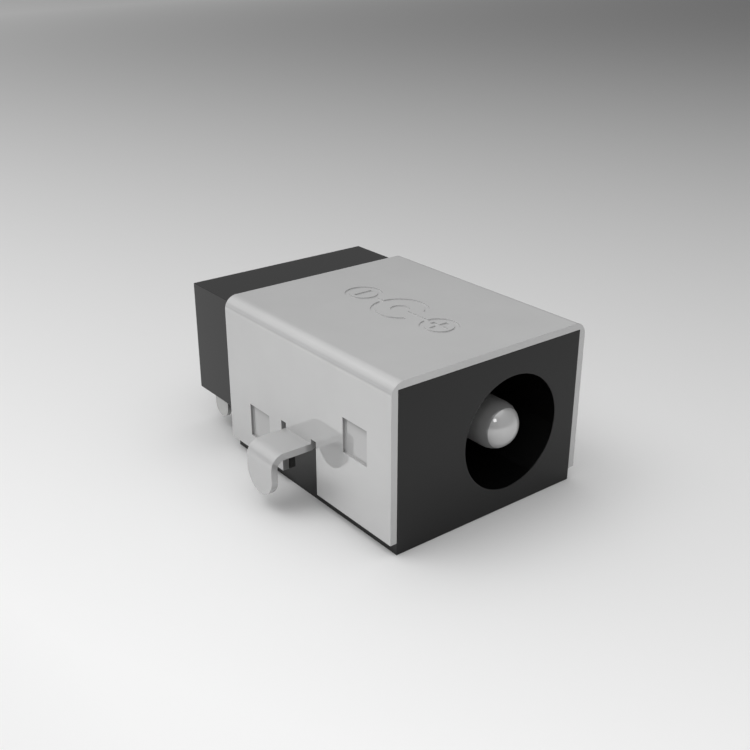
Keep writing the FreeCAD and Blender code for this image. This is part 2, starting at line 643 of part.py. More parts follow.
def make_break_contact():
    """The fixed blade beside the spring: a strip that ends at the leaf, and a leg."""
    body = new_body("break_contact")
    blade = new_sketch(body, "blade_outline", "YZ_Plane", BREAK_LEFT)
    add_blade(blade, (
        (LEG_REAR, LEG_ROUND),
        (LEG_REAR, LEAF_HIGH),
        (BREAK_FRONT, LEAF_HIGH),
        (BREAK_FRONT, LEAF_LOW),
        (LEG_FRONT, LEAF_LOW),
        (LEG_FRONT, LEG_ROUND),
    ), LEG_TIP)
    extrude(body, "Pad", "blade", blade, "contact_thickness")
    return body


def faults_in(body):
    """List what is wrong with a finished sub-part."""
    faults = [f"{item.Name} is {', '.join(item.State)}" for item in [body, *body.Group]
              if {"Invalid", "Error"} & set(item.State)]
    if body.Shape.isNull() or not body.Shape.isValid():
        faults.append(f"{body.Label} has no valid shape")
    elif len(body.Shape.Solids) != 1:
        faults.append(f"{body.Label} has {len(body.Shape.Solids)} solids")
    return faults


bodies = [
    make_front_housing(),
    make_rear_cap(),
    make_shield_shell(),
    make_center_pin(),
    make_pin_terminal(),
    make_sleeve_spring(),
    make_break_contact(),
]
doc.recompute()
problems = [fault for body in bodies for fault in faults_in(body)]
if problems:
    raise RuntimeError("; ".join(problems))

os.makedirs(PARTS_FOLDER, exist_ok=True)
for body in bodies:
    body.Shape.exportStep(f"{PARTS_FOLDER}/{body.Label}.step")
    box = body.Shape.BoundBox
    print(f"{body.Label}: {body.Shape.Volume:.2f} mm3, X {box.XMin:.2f} to {box.XMax:.2f}, "
          f"Y {box.YMin:.2f} to {box.YMax:.2f}, Z {box.ZMin:.2f} to {box.ZMax:.2f}")
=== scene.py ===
import json
import math

import bmesh
import bpy
from bpy.props import FloatProperty, FloatVectorProperty, PointerProperty
from bpy.types import Operator, Panel, PropertyGroup
from mathutils import Matrix, Vector


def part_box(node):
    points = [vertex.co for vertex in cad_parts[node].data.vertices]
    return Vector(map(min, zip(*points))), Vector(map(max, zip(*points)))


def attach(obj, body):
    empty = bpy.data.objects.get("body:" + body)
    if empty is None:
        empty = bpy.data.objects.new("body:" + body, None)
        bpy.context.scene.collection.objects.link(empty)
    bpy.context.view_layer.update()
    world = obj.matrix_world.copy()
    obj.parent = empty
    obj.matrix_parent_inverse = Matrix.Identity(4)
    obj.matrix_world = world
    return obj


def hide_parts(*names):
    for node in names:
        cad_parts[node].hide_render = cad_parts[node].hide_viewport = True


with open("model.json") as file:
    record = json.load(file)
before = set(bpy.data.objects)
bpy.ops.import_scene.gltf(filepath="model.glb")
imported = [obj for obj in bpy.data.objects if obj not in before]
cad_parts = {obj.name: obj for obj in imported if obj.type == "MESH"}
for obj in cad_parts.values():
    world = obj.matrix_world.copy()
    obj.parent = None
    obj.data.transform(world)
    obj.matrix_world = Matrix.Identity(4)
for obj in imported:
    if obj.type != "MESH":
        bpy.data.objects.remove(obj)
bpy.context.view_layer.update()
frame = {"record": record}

bl_info = {
    "name": "DC Barrel Jack",
    "version": (1, 0, 0),
    "blender": (4, 5, 0),
    "location": "View3D > Sidebar > Barrel Jack",
    "description": "Builds the visible pieces of a shielded DC barrel jack and its studio stage",
    "category": "Add Mesh",
}

# Pieces are drawn in millimetres and shrunk to metres when they are finished.
# X points right as seen from the plug side, Y from the plug side to the rear, Z up.
MM = 0.001
BODY = "root"

# How finely the round shapes are divided.
BEND_STEPS = 24
TIP_STEPS = 40
ROUND_STEPS = 128
MARK_STEPS = 72
SHANK_STEPS = 40
SHOULDER_STEPS = 4
ROUNDING_STEPS = 3

# How far a tool reaches past a surface and past a leg's sides. SEAM is how deep joined solids
# overlap, and how far a slot's tool reaches over the floor that it goes through.
PAST = 1.0
PAST_LEG = 0.2
SEAM = 0.1

# Edges that turn more than SHARP are rounded; those that turn more than SMOOTH_ANGLE are shaded sharp.
SHARP = math.radians(35)
SMOOTH_ANGLE = math.radians(32)

# Points nearer than CLOSE are merged, and so are faces that turn less than FLAT.
CLOSE = 1e-5
CLOSE_IN_STRIP = 1e-6
FLAT = math.radians(0.05)
TIDY_PASSES = 2

# A face looks along an axis where its normal reaches FACING. In a pressed square painted shade darkens
# the walls, and a wall that looks up gets UPWARD_PAINTED_LIGHT more painted light. The centre pin's tip keeps
# its full colour up to UNSHADED_TIP_TURN from its axis; past it, the shank carries painted shade.
FACING = 0.9
UPWARD_PAINTED_LIGHT = 0.6
UNSHADED_TIP_TURN = math.radians(57)

# Each face carries its painted shade, the share of its plating's colour that is kept, and the height of an
# edge under which a painted shadow darkens its plating, fading over about SHADOW_FADE.
PAINTED_SHADE = "brightness"
SHADOW_EDGE_HEIGHT = "edge_height"
NO_SHADOW_EDGE = 1 / MM
SHADOW_FADE = 0.16 * MM

# The plating's and the moulding's patterns, as features to the metre, and their fine relief.
PLATING_CLOUDS = 260.0
ROLLING_LINES = 5200.0
PLATING_SPECKS = 9000.0
FLOW_CLOUDS = 180.0
MOULDED_SKIN = 6000.0
LINE_RELIEF = 0.7
SPECK_RELIEF = 0.3
RELIEF_STRENGTH = 0.1
RELIEF_DEPTH = 0.0000003

# How the plating's fine lines lie: under 1 they are drawn out along that axis, over 1 across it.
ROLLED_ALONG = (1.0, 0.06, 1.0)
ROLLED_UPRIGHT = (1.0, 1.0, 0.08)
TURNED = (1.0, 8.0, 1.0)

# How far the clouds change the plating's and the moulding's colour and roughness, and the
# moulding's index of refraction.
DULL_PLATING = 0.93
BRIGHT_PLATING = 1.04
PLATING_GLOSS = 0.012
DARK_MOULDING = 0.8
MOULDING_GLOSS = 0.015
MOULDING_IOR = 1.42

# The floor's tone, with light painted into its colour: two painted pools of light, each with its growth to
# the metre along X and Y, and a limit that falls towards the left by LEFT_SLOPE to the metre, from LEFT_LEVEL
# under the jack to LEFT_LEAST.
NEAR_GROWTH = (-9.5, -4.65, 0)
REAR_GROWTH = (-2.12, 9.12, 0)
REAR_GLOW = 0.021
REAR_MOST = 0.25
LEFT_SLOPE = 7
LEFT_LEVEL = 1.07
LEFT_LEAST = 0.3
PALEST = 0.93

# The sky's radiance at each height over the horizon, where 1 is straight overhead, and the radiance
# that white stands for in its ramp. Then how much more the sky has ahead of the camera and at the
# camera's left, and how narrow the soft panel in it is.
SKY_LEVELS = ((0.0, 0.47), (0.2, 0.12), (0.38, 0.35), (0.5, 0.31), (0.62, 0.56), (0.74, 0.71),
              (0.86, 1.71), (1.0, 1.46))
SKY_PEAK = 2.0
AHEAD_GLOW = 0.1
LEFT_GLOW = 0.31
PANEL_FOCUS = 12

# The camera's sensor in millimetres, and the nearest distance that it shows in metres.
SENSOR_WIDTH = 36
NEAREST = 0.001


def corners_of(node):
    """Give a node's lowest and highest corners in millimetres."""
    low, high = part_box(node)
    return low / MM, high / MM


def mount_of(name):
    """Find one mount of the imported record."""
    return next(mount for mount in frame["record"]["mounts"] if mount["name"] == name)


HOUSING_LOW, HOUSING_HIGH = corners_of("front_housing")
CAP_LOW, CAP_HIGH = corners_of("rear_cap")
SHELL_LOW, SHELL_HIGH = corners_of("shield_shell")
PIN_LOW, PIN_HIGH = corners_of("center_pin")
SPRING_LOW, SPRING_HIGH = corners_of("sleeve_spring")
BREAK_LOW, BREAK_HIGH = corners_of("break_contact")
TERMINAL_LOW, TERMINAL_HIGH = corners_of("pin_terminal")

FRONT = HOUSING_LOW.y
REAR_FACE = HOUSING_HIGH.y
SHEET = SHELL_HIGH.z - HOUSING_HIGH.z
PLUG_PIN = mount_of("plug_pin")
PIN_RADIUS = PLUG_PIN["dims"]["r_mm"]
AXIS_X = PLUG_PIN["pos_m"][0] / MM
AXIS_Z = PLUG_PIN["pos_m"][2] / MM
SOCKET_FLOOR = PLUG_PIN["pos_m"][1] / MM + PLUG_PIN["dims"]["length_mm"] / 2
HOOK_MIDDLE = mount_of("left_hook_leg")["pos_m"][1] / MM
BOARD = CAP_LOW.z
LEG_REAR = SPRING_HIGH.y


def length(name, note, millimetres):
    """Describe one length that a user may change."""
    return FloatProperty(name=name, description=note, default=millimetres * MM, precision=5, unit="LENGTH")


def share(name, note, number):
    """Describe one number from 0 to 1 that a user may change."""
    return FloatProperty(name=name, description=note, default=number, min=0, max=1, subtype="FACTOR")


def colour(name, note, red, green, blue):
    """Describe one colour that a user may change."""
    return FloatVectorProperty(name=name, description=note, default=(red, green, blue),
                               min=0, max=1, size=3, subtype="COLOR")


def position(name, note, x, y, z):
    """Describe one place in metres that a user may change."""
    return FloatVectorProperty(name=name, description=note, default=(x, y, z), size=3, precision=5,
                               unit="LENGTH")


def heading(name, note, x, y, z):
    """Describe one direction that a user may change."""
    return FloatVectorProperty(name=name, description=note, default=(x, y, z), size=3, subtype="DIRECTION")


def radiance(name, note, number):
    """Describe how bright one light is, where 1 shows as white."""
    return FloatProperty(name=name, description=note, default=number, min=0)


class JackShield(PropertyGroup):
    """Sizes of the folded shield."""
    clearance: length("Clearance", "Gap between the shield and the housing at each side", 0.01)
    bend: length("Long Bends", "Outer radius of the two long bends", 0.7)
    edge: length("Edges", "Rounding of the sheet's cut edges", 0.008)
    hook_width: length("Hook Width", "Width of each hook leg", 2.2)
    hook_notch: length("Hook Notch", "Width of the notch on each side of a hook leg", 0.42)
    hook_top: length("Hook Top", "Height of a hook leg's flat top", 3.3)
    hook_rise: length("Notch Rise", "How far the notches rise above the flat top", 0.27)
    hook_bend: length("Hook Bend", "Inner radius of a hook leg's bend", 0.38)
    hook_root: length("Hook Root", "Inner radius of the bend where a hook leg leaves the wall", 0.01)
    hook_tip: length("Hook Tip", "Height of a hook leg's rounded tip", 0.89)
    square: length("Square", "Side of each pressed-in square", 1.82)
    square_depth: length("Square Depth", "How far each square is pressed in", 0.13)
    front_square: length("Front Square", "Middle of the front square behind the front face", 2.65)
    front_square_height: length("Front Square Height", "Middle of the front square", 4.88)
    rear_square: length("Rear Square", "Middle of the rear square behind the front face", 10.88)
    rear_square_height: length("Rear Square Height", "Middle of the rear square", 2.435)


class JackMark(PropertyGroup):
    """Sizes of the polarity mark engraved in the shield's top."""
    depth: length("Depth", "Depth of the engraving", 0.06)
    edge: length("Edges", "Rounding of the engraving's edges", 0.012)
    line: length("Line", "Width of the engraved lines", 0.26)
    middle: length("Middle", "Middle of the mark behind the front face", 6.9)
    pitch: length("Pitch", "Distance from the middle to each sign", 3.0)
    ring: length("Ring", "Outer radius of the ring round each sign", 1.0)
    arc: length("Arc", "Outer radius of the open middle arc", 1.5)
    opening: length("Opening", "Width of the gap in the middle arc", 1.3)
    dot: length("Dot", "Radius of the dot", 0.5)
    sign: length("Sign", "Half the length of the plus and minus strokes", 0.55)


class JackMouldings(PropertyGroup):
    """Sizes of the housing and the rear cap."""
    edge: length("Edges", "Rounding of the housing's edges", 0.04)
    socket: length("Socket", "Radius of the socket", 2.975)
    play: length("Play", "Gap round the pin and the pegs in their holes", 0.02)
    seat: length("Pin Seat", "Radius of the centre pin behind the socket's floor", 1.5)
    flange: length("Flange", "Thickness of the centre pin's flange", 1.0)
    channel_wall: length("Channel Wall", "Thickness of the housing outside the spring's channel", 0.55)
    channel_gap: length("Channel Gap", "Gap above and below the leaf in its channel", 0.2)
    channel_front: length("Channel Front", "Gap in front of the leaf's free end", 0.6)
    pocket_gap: length("Pocket Gap", "Gap round a pressed-in square in the housing", 0.08)
    peg: length("Peg", "Radius of the cap's two pegs", 0.6)
    peg_edge: length("Peg Edge", "Distance of a peg's axis from the cap's outer faces", 1.1)
    cap_floor: length("Cap Floor", "Thickness of the rear cap's floor", 0.5)
    cap_side: length("Cap Side", "Thickness of the rear cap's left wall", 0.35)
    cap_rear: length("Cap Rear", "Thickness of the rear cap's rear wall", 0.9)
    cap_edge: length("Cap Edges", "Rounding of the rear cap's edges", 0.028)
    cavity_gap: length("Cavity Gap", "Space above and beside the pin's terminal", 0.7)
    slot_gap: length("Slot Gap", "Gap beside each leg in its slot", 0.01)


class JackContacts(PropertyGroup):
    """Sizes of the pin and the flat contacts."""
    pin_edge: length("Pin Edges", "Rounding of the turned shoulders", 0.06)
    tail: length("Tail", "Radius of the riveted tail", 0.8)
    rivet: length("Rivet", "Radius of the rivet head at its terminal", 1.1)
    thickness: length("Thickness", "Thickness of the spring and of the break contact", 0.25)
    edge: length("Edges", "Rounding of the stamped edges", 0.02)
    leg: length("Leg", "Width of the solder legs", 1.33)
    root_run: length("Root Run", "Straight run between a side leg and the root bend", 0.6)
    root_bend: length("Root Bend", "Centreline radius of the leaf's root bend", 2.0)
    bump: length("Bump", "Centreline radius of the leaf's contact bump", 0.9)
    bump_depth: length("Bump Depth", "Middle of the bump behind the front face", 6.6)
    tail_lean: FloatProperty(name="Tail Lean", description="Angle of the leaf's free end",
                             default=math.radians(30), subtype="ANGLE")
    tail_run: length("Tail Run", "Length of the leaf's free end", 1.8)


class JackFinishes(PropertyGroup):
    """Colours and gloss of the jack's surfaces."""
    plating: colour("Plating", "Colour of the shield's and the pin's plating", 0.64, 0.64, 0.64)
    mirror: share("Mirror", "How much of the plating's sheen is a mirror's", 0.38)
    plating_roughness: share("Plating Roughness", "Roughness of the plating", 0.025)
    # The rims and the hook legs' sheared edges are darker partly for their sheared finish and partly as
    # painted shade on faces turned away from the light.
    rim: share("Rim", "Brightness of the shield's sheared rims beside its rolled faces", 0.9)
    # The hook legs' rolled faces are darkened with painted shade.
    hook_face: share("Hook Face", "Brightness of the hook legs' rolled faces", 0.92)
    hook_edge: share("Hook Edge", "Brightness of the hook legs' sheared edges", 0.82)
    # The pressed squares' walls and floors are darkened with painted shade of the recess.
    pressed_wall: share("Pressed Wall", "Brightness of the pressed squares' upright walls", 0.55)
    pressed_floor: share("Pressed Floor", "Brightness of the pressed squares' floors", 0.87)
    # A painted shadow darkens each pressed square's floor under its upper edge.
    pressed_edge: share("Pressed Edge", "How much duller a square's floor is at its upper edge", 0.63)
    pin_mirror: share("Pin Mirror", "How much of the centre pin's sheen is a mirror's", 0.18)
    # The pin's shank carries painted shade from the socket, deepest beside the tip and lightening by pin_gain
    # with each millimetre inwards.
    pin_shank: share("Pin Shank", "Brightness of the centre pin's dull part next to its polished tip", 0.3)
    pin_gain: share("Pin Gain", "How much brighter the centre pin gets with each millimetre inwards", 0.25)
    contact_plating: colour("Contact Plating", "Colour of the contacts' plating", 0.56, 0.56, 0.55)
    contact_mirror: share("Contact Mirror", "How much of the contacts' sheen is a mirror's", 0.45)
    contact_roughness: share("Contact Roughness", "Roughness of the contacts' plating", 0.08)
    moulding: colour("Moulding", "Colour of the black moulding", 0.004, 0.004, 0.004)
    moulding_roughness: share("Moulding Roughness", "Roughness of the black moulding", 0.035)


class JackStage(PropertyGroup):
    """Camera, floor and lights."""
    lens: FloatProperty(name="Lens", description="Focal length of the camera", default=49.15, unit="CAMERA")
    camera_place: position("Camera", "Place of the camera", -0.030704, -0.039449, 0.026635)
    camera_aim: heading("Aim", "Direction in which the camera looks", 0.5610, 0.7206, -0.4073)
    floor_reach: length("Floor Reach", "Half the side of the floor", 3000)
    # Far from the jack the floor keeps floor_shade; floor_glow is the painted pool of light that makes it
    # paler under the jack.
    floor_shade: share("Floor Shade", "How pale the floor is far away", 0.096)
    floor_glow: share("Floor Glow", "How much paler the floor is under the jack", 0.655)
    key_side: length("Key Light Size", "Side of the large soft light", 400)
    key_place: position("Key Light", "Place of the large soft light", -0.33, 0.18, 0.59)
    key_strength: radiance("Key Strength", "Radiance of the large soft light", 2.0)
    panel_direction: heading("Panel", "Direction of the panel at the left rear", -0.37, 0.77, 0.51)
    panel_strength: radiance("Panel Strength", "Radiance of the soft panel", 0.45)
    spark_side: length("Spark Size", "Width of the light that sparkles on the pin", 130)
    spark_place: position("Spark", "Place of the light that sparkles on the pin", -0.23, -0.316, 0.31)
    spark_strength: radiance("Spark Strength", "Radiance of the light on the pin", 3.4)


class Lengths:
    """Read a property group's lengths in millimetres."""

    def __init__(self, group):
        self.group = group

    def __getattr__(self, name):
        return getattr(self.group, name) / MM


def arc(centre, radius, start, end, steps):
    """List the points of an arc between two angles in degrees."""
    turns = [math.radians(start + (end - start) * step / steps) for step in range(steps + 1)]
    return [(centre[0] + radius * math.cos(turn), centre[1] + radius * math.sin(turn)) for turn in turns]


def circle(centre, radius, steps=ROUND_STEPS):
    """List the points of a full circle."""
    return arc(centre, radius, 0, 360, steps)[:-1]


def rectangle(left, low, right, high):
    """List the corners of a rectangle."""
    return [(left, low), (right, low), (right, high), (left, high)]


def new_piece(work, name="solid"):
    """Turn a bmesh into a linked object whose faces point outwards."""
    bmesh.ops.recalc_face_normals(work, faces=work.faces)
    mesh = bpy.data.meshes.new(name)
    work.to_mesh(mesh)
    work.free()
    piece = bpy.data.objects.new(name, mesh)
    bpy.context.scene.collection.objects.link(piece)
    return piece


def prism(outline, low, high, along):
    """Extrude an outline; along X it lies in YZ, along Y in XZ and along Z in XY."""
    place = {
        "X": lambda across, up, level: (level, across, up),
        "Y": lambda across, up, level: (across, level, up),
        "Z": lambda across, up, level: (across, up, level),
    }[along]
    work = bmesh.new()
    rings = [[work.verts.new(place(across, up, level)) for across, up in outline] for level in (low, high)]
    for ring in rings:
        work.faces.new(ring)
    for here in range(len(outline)):
        after = (here + 1) % len(outline)
        work.faces.new((rings[0][here], rings[0][after], rings[1][after], rings[1][here]))
    return new_piece(work)


def bake_modifiers(piece):
    """Replace a piece's mesh by what its modifiers make of it."""
    graph = bpy.context.evaluated_depsgraph_get()
    mesh = bpy.data.meshes.new_from_object(piece.evaluated_get(graph))
    old = piece.data
    piece.modifiers.clear()
    piece.data = mesh
    bpy.data.meshes.remove(old)


def combine(piece, tool, operation):
    """Combine a piece with a tool and drop the tool."""
    step = piece.modifiers.new("combine", "BOOLEAN")
    step.operation = operation
    step.solver = "EXACT"
    step.object = tool
    bake_modifiers(piece)
    bpy.data.objects.remove(tool)
    if not piece.data.polygons:
        raise RuntimeError(f"{operation} left nothing of {piece.name}")


def cut(piece, tool):
    """Take a tool's shape out of a piece."""
    combine(piece, tool, "DIFFERENCE")


def join(piece, other):
    """Make two pieces one."""
    combine(piece, other, "UNION")


def round_edges(piece, width, weighted=False):
    """Round a piece's sharp edges, or only those that carry a weight."""
    tidy_mesh(piece)
    step = piece.modifiers.new("edges", "BEVEL")
    step.width = width
    step.segments = ROUNDING_STEPS
    step.limit_method = "WEIGHT" if weighted else "ANGLE"
    step.angle_limit = SHARP
    step.use_clamp_overlap = True
    step.miter_outer = "MITER_ARC"
    bake_modifiers(piece)


def tidy_mesh(piece):
    """Merge the doubled points and flat neighbours that the cutting leaves; each pass frees more of them."""
    work = bmesh.new()
    work.from_mesh(piece.data)
    for tidying in range(TIDY_PASSES):
        bmesh.ops.remove_doubles(work, verts=work.verts, dist=CLOSE)
        bmesh.ops.dissolve_degenerate(work, edges=work.edges, dist=CLOSE)
        bmesh.ops.dissolve_limit(work, angle_limit=FLAT, verts=work.verts, edges=work.edges)
    work.to_mesh(piece.data)
    work.free()


def tell_painted_shade(piece, measure):
    """Store on each face its painted shade, and the height of an edge that casts a painted shadow on it."""
    bright = piece.data.attributes.new(PAINTED_SHADE, "FLOAT", "FACE")
    edge = piece.data.attributes.new(SHADOW_EDGE_HEIGHT, "FLOAT", "FACE")
    faces = [measure(face.center, face.normal) for face in piece.data.polygons]
    bright.data.foreach_set("value", [brightness for brightness, height in faces])
    edge.data.foreach_set("value", [height * MM for brightness, height in faces])


def finish_piece(piece, node, material, measure=lambda middle, normal: (1.0, NO_SHADOW_EDGE)):
    """Store a piece's painted shade, shade it smooth, shrink it to metres and put it in the place of its
    node.
    """
    tell_painted_shade(piece, measure)
    piece.name = f"{node}_finished"
    piece.data.name = piece.name
    piece.data.shade_smooth()
    piece.data.set_sharp_from_angle(angle=SMOOTH_ANGLE)
    step = piece.modifiers.new("normals", "WEIGHTED_NORMAL")
    step.keep_sharp = True
    bake_modifiers(piece)
    piece.data.transform(Matrix.Scale(MM, 4))
    piece.data.materials.clear()
    piece.data.materials.append(material)
    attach(piece, BODY)
    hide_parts(node)


class NodeTree:
    """Fill a node tree with calls, so that a node, its settings and its links stand together."""

    def __init__(self, tree):
        self.tree = tree
        self.tree.nodes.clear()

    def node(self, kind, settings=(), inputs=()):
        """Add a node, set it up, then give its sockets their values or links."""
        made = self.tree.nodes.new(kind)
        for name, value in dict(settings).items():
            if name == "stops":
                set_stops(made.color_ramp, value)
            else:
                setattr(made, name, value)
        for name, value in dict(inputs).items():
            source = getattr(value, "socket", value)
            if isinstance(source, bpy.types.NodeSocket):
                self.tree.links.new(source, made.inputs[name])
            else:
                made.inputs[name].default_value = source
        return made

    def field(self, kind, settings=(), inputs=(), output=0):
        """Add a node and give its output back as a number to calculate with."""
        return Field(self, self.node(kind, settings, inputs).outputs[output])

    def along(self, place, direction):
        """Measure how far a place or a direction reaches along another direction."""
        return self.field("ShaderNodeVectorMath", {"operation": "DOT_PRODUCT"},
                          {0: place, 1: direction}, output="Value")


class Field:
    """A number that changes over a surface; sums and products of it become Math nodes."""

    def __init__(self, tree, socket):
        self.tree = tree
        self.socket = socket

    def calculate(self, operation, first, second):
        """Add a Math node for two numbers."""
        return self.tree.field("ShaderNodeMath", {"operation": operation}, {0: first, 1: second})

    def __add__(self, other):
        return self.calculate("ADD", self, other)

    def __sub__(self, other):
        return self.calculate("SUBTRACT", self, other)

    def __rsub__(self, other):
        return self.calculate("SUBTRACT", other, self)

    def __mul__(self, other):
        return self.calculate("MULTIPLY", self, other)

    def exp(self):
        return self.tree.field("ShaderNodeMath", {"operation": "EXPONENT"}, {0: self})

    def at_least(self, limit):
        return self.calculate("MAXIMUM", self, limit)

    def at_most(self, limit):
        return self.calculate("MINIMUM", self, limit)

    __radd__ = __add__
    __rmul__ = __mul__


def set_stops(ramp, stops):
    """Give a colour ramp its stops."""
    for element, (place, tint) in zip(ramp.elements, (stops[0], stops[-1])):
        element.position = place
        element.color = (*tint, 1)
    for place, tint in stops[1:-1]:
        ramp.elements.new(place).color = (*tint, 1)


def new_material(name):
    """Start a material and give back its tree."""
    material = bpy.data.materials.new(name)
    material.use_nodes = True
    return material, NodeTree(material.node_tree)


def close_material(tree, shader):
    """Link a shader to the material's output."""
    tree.node("ShaderNodeOutputMaterial", inputs={"Surface": shader.outputs[0]})


def noise(tree, place, scale, stretch=(1, 1, 1), detail=3.0):
    """Give a noise over the piece's own coordinates, with features a given number to the metre."""
    spread = tree.node("ShaderNodeMapping", inputs={"Vector": place, "Scale": stretch})
    return tree.field("ShaderNodeTexNoise", inputs={
        "Vector": spread.outputs[0], "Scale": scale, "Detail": detail, "Roughness": 0.55})


def clouded(tree, clouds, dark, bright):
    """Mix two shades of a colour by a noise."""
    mixed = tree.node("ShaderNodeMix", {"data_type": "RGBA"}, {
        "Factor": clouds, 6: (*dark, 1), 7: (*bright, 1)})
    return mixed.outputs[2]


def fine_relief(tree, height):
    """Give the normal of a surface with a very fine relief."""
    relief = tree.node("ShaderNodeBump", inputs={
        "Strength": RELIEF_STRENGTH, "Distance": RELIEF_DEPTH, "Height": height})
    return relief.outputs[0]


def plated_metal(name, tint, metallic, roughness, rolled, edge_shadow=0.0):
    """Make bright plated sheet: cloudy plating, fine lines along the rolling direction, and painted shade
    from each face and under an edge.
    """
    material, tree = new_material(name)
    place = tree.node("ShaderNodeTexCoord").outputs["Object"]
    clouds = noise(tree, place, PLATING_CLOUDS)
    lines = noise(tree, place, ROLLING_LINES, stretch=rolled, detail=2.0)
    specks = noise(tree, place, PLATING_SPECKS, detail=1.0)
    dull = [part * DULL_PLATING for part in tint]
    bright = [min(part * BRIGHT_PLATING, 1.0) for part in tint]
    # Each face's painted shade darkens the plating's colour.
    kept = tree.field("ShaderNodeAttribute", {"attribute_name": PAINTED_SHADE}, output="Fac")
    edge = tree.field("ShaderNodeAttribute", {"attribute_name": SHADOW_EDGE_HEIGHT}, output="Fac")
    # Under a pressed square's upper edge a painted shadow darkens the plating, fading downwards over about
    # SHADOW_FADE.
    above = tree.along(place, (0, 0, 1)) - edge
    kept = kept * (1 - (above * (1 / SHADOW_FADE)).exp() * edge_shadow)
    dimmed = tree.node("ShaderNodeVectorMath", {"operation": "SCALE"}, {
        0: clouded(tree, clouds, dull, bright), "Scale": kept})
    shader = tree.node("ShaderNodeBsdfPrincipled", inputs={
        "Base Color": dimmed.outputs[0],
        "Metallic": metallic,
        "Roughness": roughness + (clouds - 0.5) * PLATING_GLOSS + (lines - 0.5) * PLATING_GLOSS,
        "Normal": fine_relief(tree, lines * LINE_RELIEF + specks * SPECK_RELIEF)})
    close_material(tree, shader)
    return material


def moulded_plastic(name, tint, roughness):
    """Make glossy black moulding: faint flow clouds and a very fine skin."""
    material, tree = new_material(name)
    place = tree.node("ShaderNodeTexCoord").outputs["Object"]
    clouds = noise(tree, place, FLOW_CLOUDS)
    skin = noise(tree, place, MOULDED_SKIN, detail=2.0)
    dark = [part * DARK_MOULDING for part in tint]
    shader = tree.node("ShaderNodeBsdfPrincipled", inputs={
        "Base Color": clouded(tree, clouds, dark, tint),
        "IOR": MOULDING_IOR,
        "Roughness": roughness + (clouds - 0.5) * MOULDING_GLOSS + (skin - 0.5) * MOULDING_GLOSS,
        "Normal": fine_relief(tree, skin)})
    close_material(tree, shader)
    return material


def start_rule(name, sizes):
    """Start a geometry tree with named inputs and give back the tree and what it is given."""
    group = bpy.data.node_groups.new(name, "GeometryNodeTree")
    for label, kind in (("Geometry", "NodeSocketGeometry"), *sizes):
        group.interface.new_socket(label, in_out="INPUT", socket_type=kind)
    group.interface.new_socket("Geometry", in_out="OUTPUT", socket_type="NodeSocketGeometry")
    tree = NodeTree(group)
    return tree, tree.node("NodeGroupInput").outputs


def close_rule(tree, shape, material):
    """End a geometry tree: make its instances real, set their material and give back the group."""
    plain = tree.node("GeometryNodeRealizeInstances", inputs={"Geometry": shape.outputs[0]})
    coated = tree.node("GeometryNodeSetMaterial", inputs={"Geometry": plain.outputs[0], "Material": material})
    tree.node("NodeGroupOutput", inputs={"Geometry": coated.outputs[0]})
    return tree.tree


def folded_strip_tree(material):
    """Make the rule for a bent strip: round a route's corners and sweep a flat section along it."""
    tree, given = start_rule("folded_strip", (
        ("Width", "NodeSocketFloat"), ("Thickness", "NodeSocketFloat"), ("Bend Steps", "NodeSocketInt")))
    route = tree.node("GeometryNodeMeshToCurve", inputs={"Mesh": given["Geometry"]})
    bend = tree.node("GeometryNodeInputNamedAttribute", {"data_type": "FLOAT"}, {"Name": "bend"})
    rounded = tree.node("GeometryNodeFilletCurve", {"mode": "POLY"}, {
        "Curve": route.outputs[0], "Count": given["Bend Steps"], "Radius": bend.outputs["Attribute"]})
    upright = tree.node("GeometryNodeSetCurveNormal", {"mode": "Z_UP"}, {"Curve": rounded.outputs[0]})
    section = tree.node("GeometryNodeCurvePrimitiveQuadrilateral", inputs={
        "Width": given["Thickness"], "Height": given["Width"]})
    strip = tree.node("GeometryNodeCurveToMesh", inputs={
        "Curve": upright.outputs[0], "Profile Curve": section.outputs[0], "Fill Caps": True})
    return close_rule(tree, strip, material)


def squares_tree(material):
    """Make the rule for the pressed squares: one block at each point."""
    tree, given = start_rule("pressed_squares", (("Side", "NodeSocketFloat"), ("Depth", "NodeSocketFloat")))
    points = tree.node("GeometryNodeMeshToPoints", inputs={"Mesh": given["Geometry"]})
    size = tree.node("ShaderNodeCombineXYZ", inputs={
        "X": given["Depth"], "Y": given["Side"], "Z": given["Side"]})
    block = tree.node("GeometryNodeMeshCube", inputs={"Size": size.outputs[0]})
    blocks = tree.node("GeometryNodeInstanceOnPoints", inputs={
        "Points": points.outputs[0], "Instance": block.outputs[0]})
    return close_rule(tree, blocks, material)


def run_tree(mesh, group, values):
    """Run a geometry tree on a mesh with values for its named inputs and keep the plain result."""
    piece = bpy.data.objects.new(mesh.name, mesh)
    bpy.context.scene.collection.objects.link(piece)
    step = piece.modifiers.new(group.name, "NODES")
    step.node_group = group
    for item in group.interface.items_tree:
        if item.in_out == "INPUT" and item.name in values:
            step[item.identifier] = values[item.name]
    bake_modifiers(piece)
    if not piece.data.polygons:
        raise RuntimeError(f"{group.name} made nothing")
    return piece


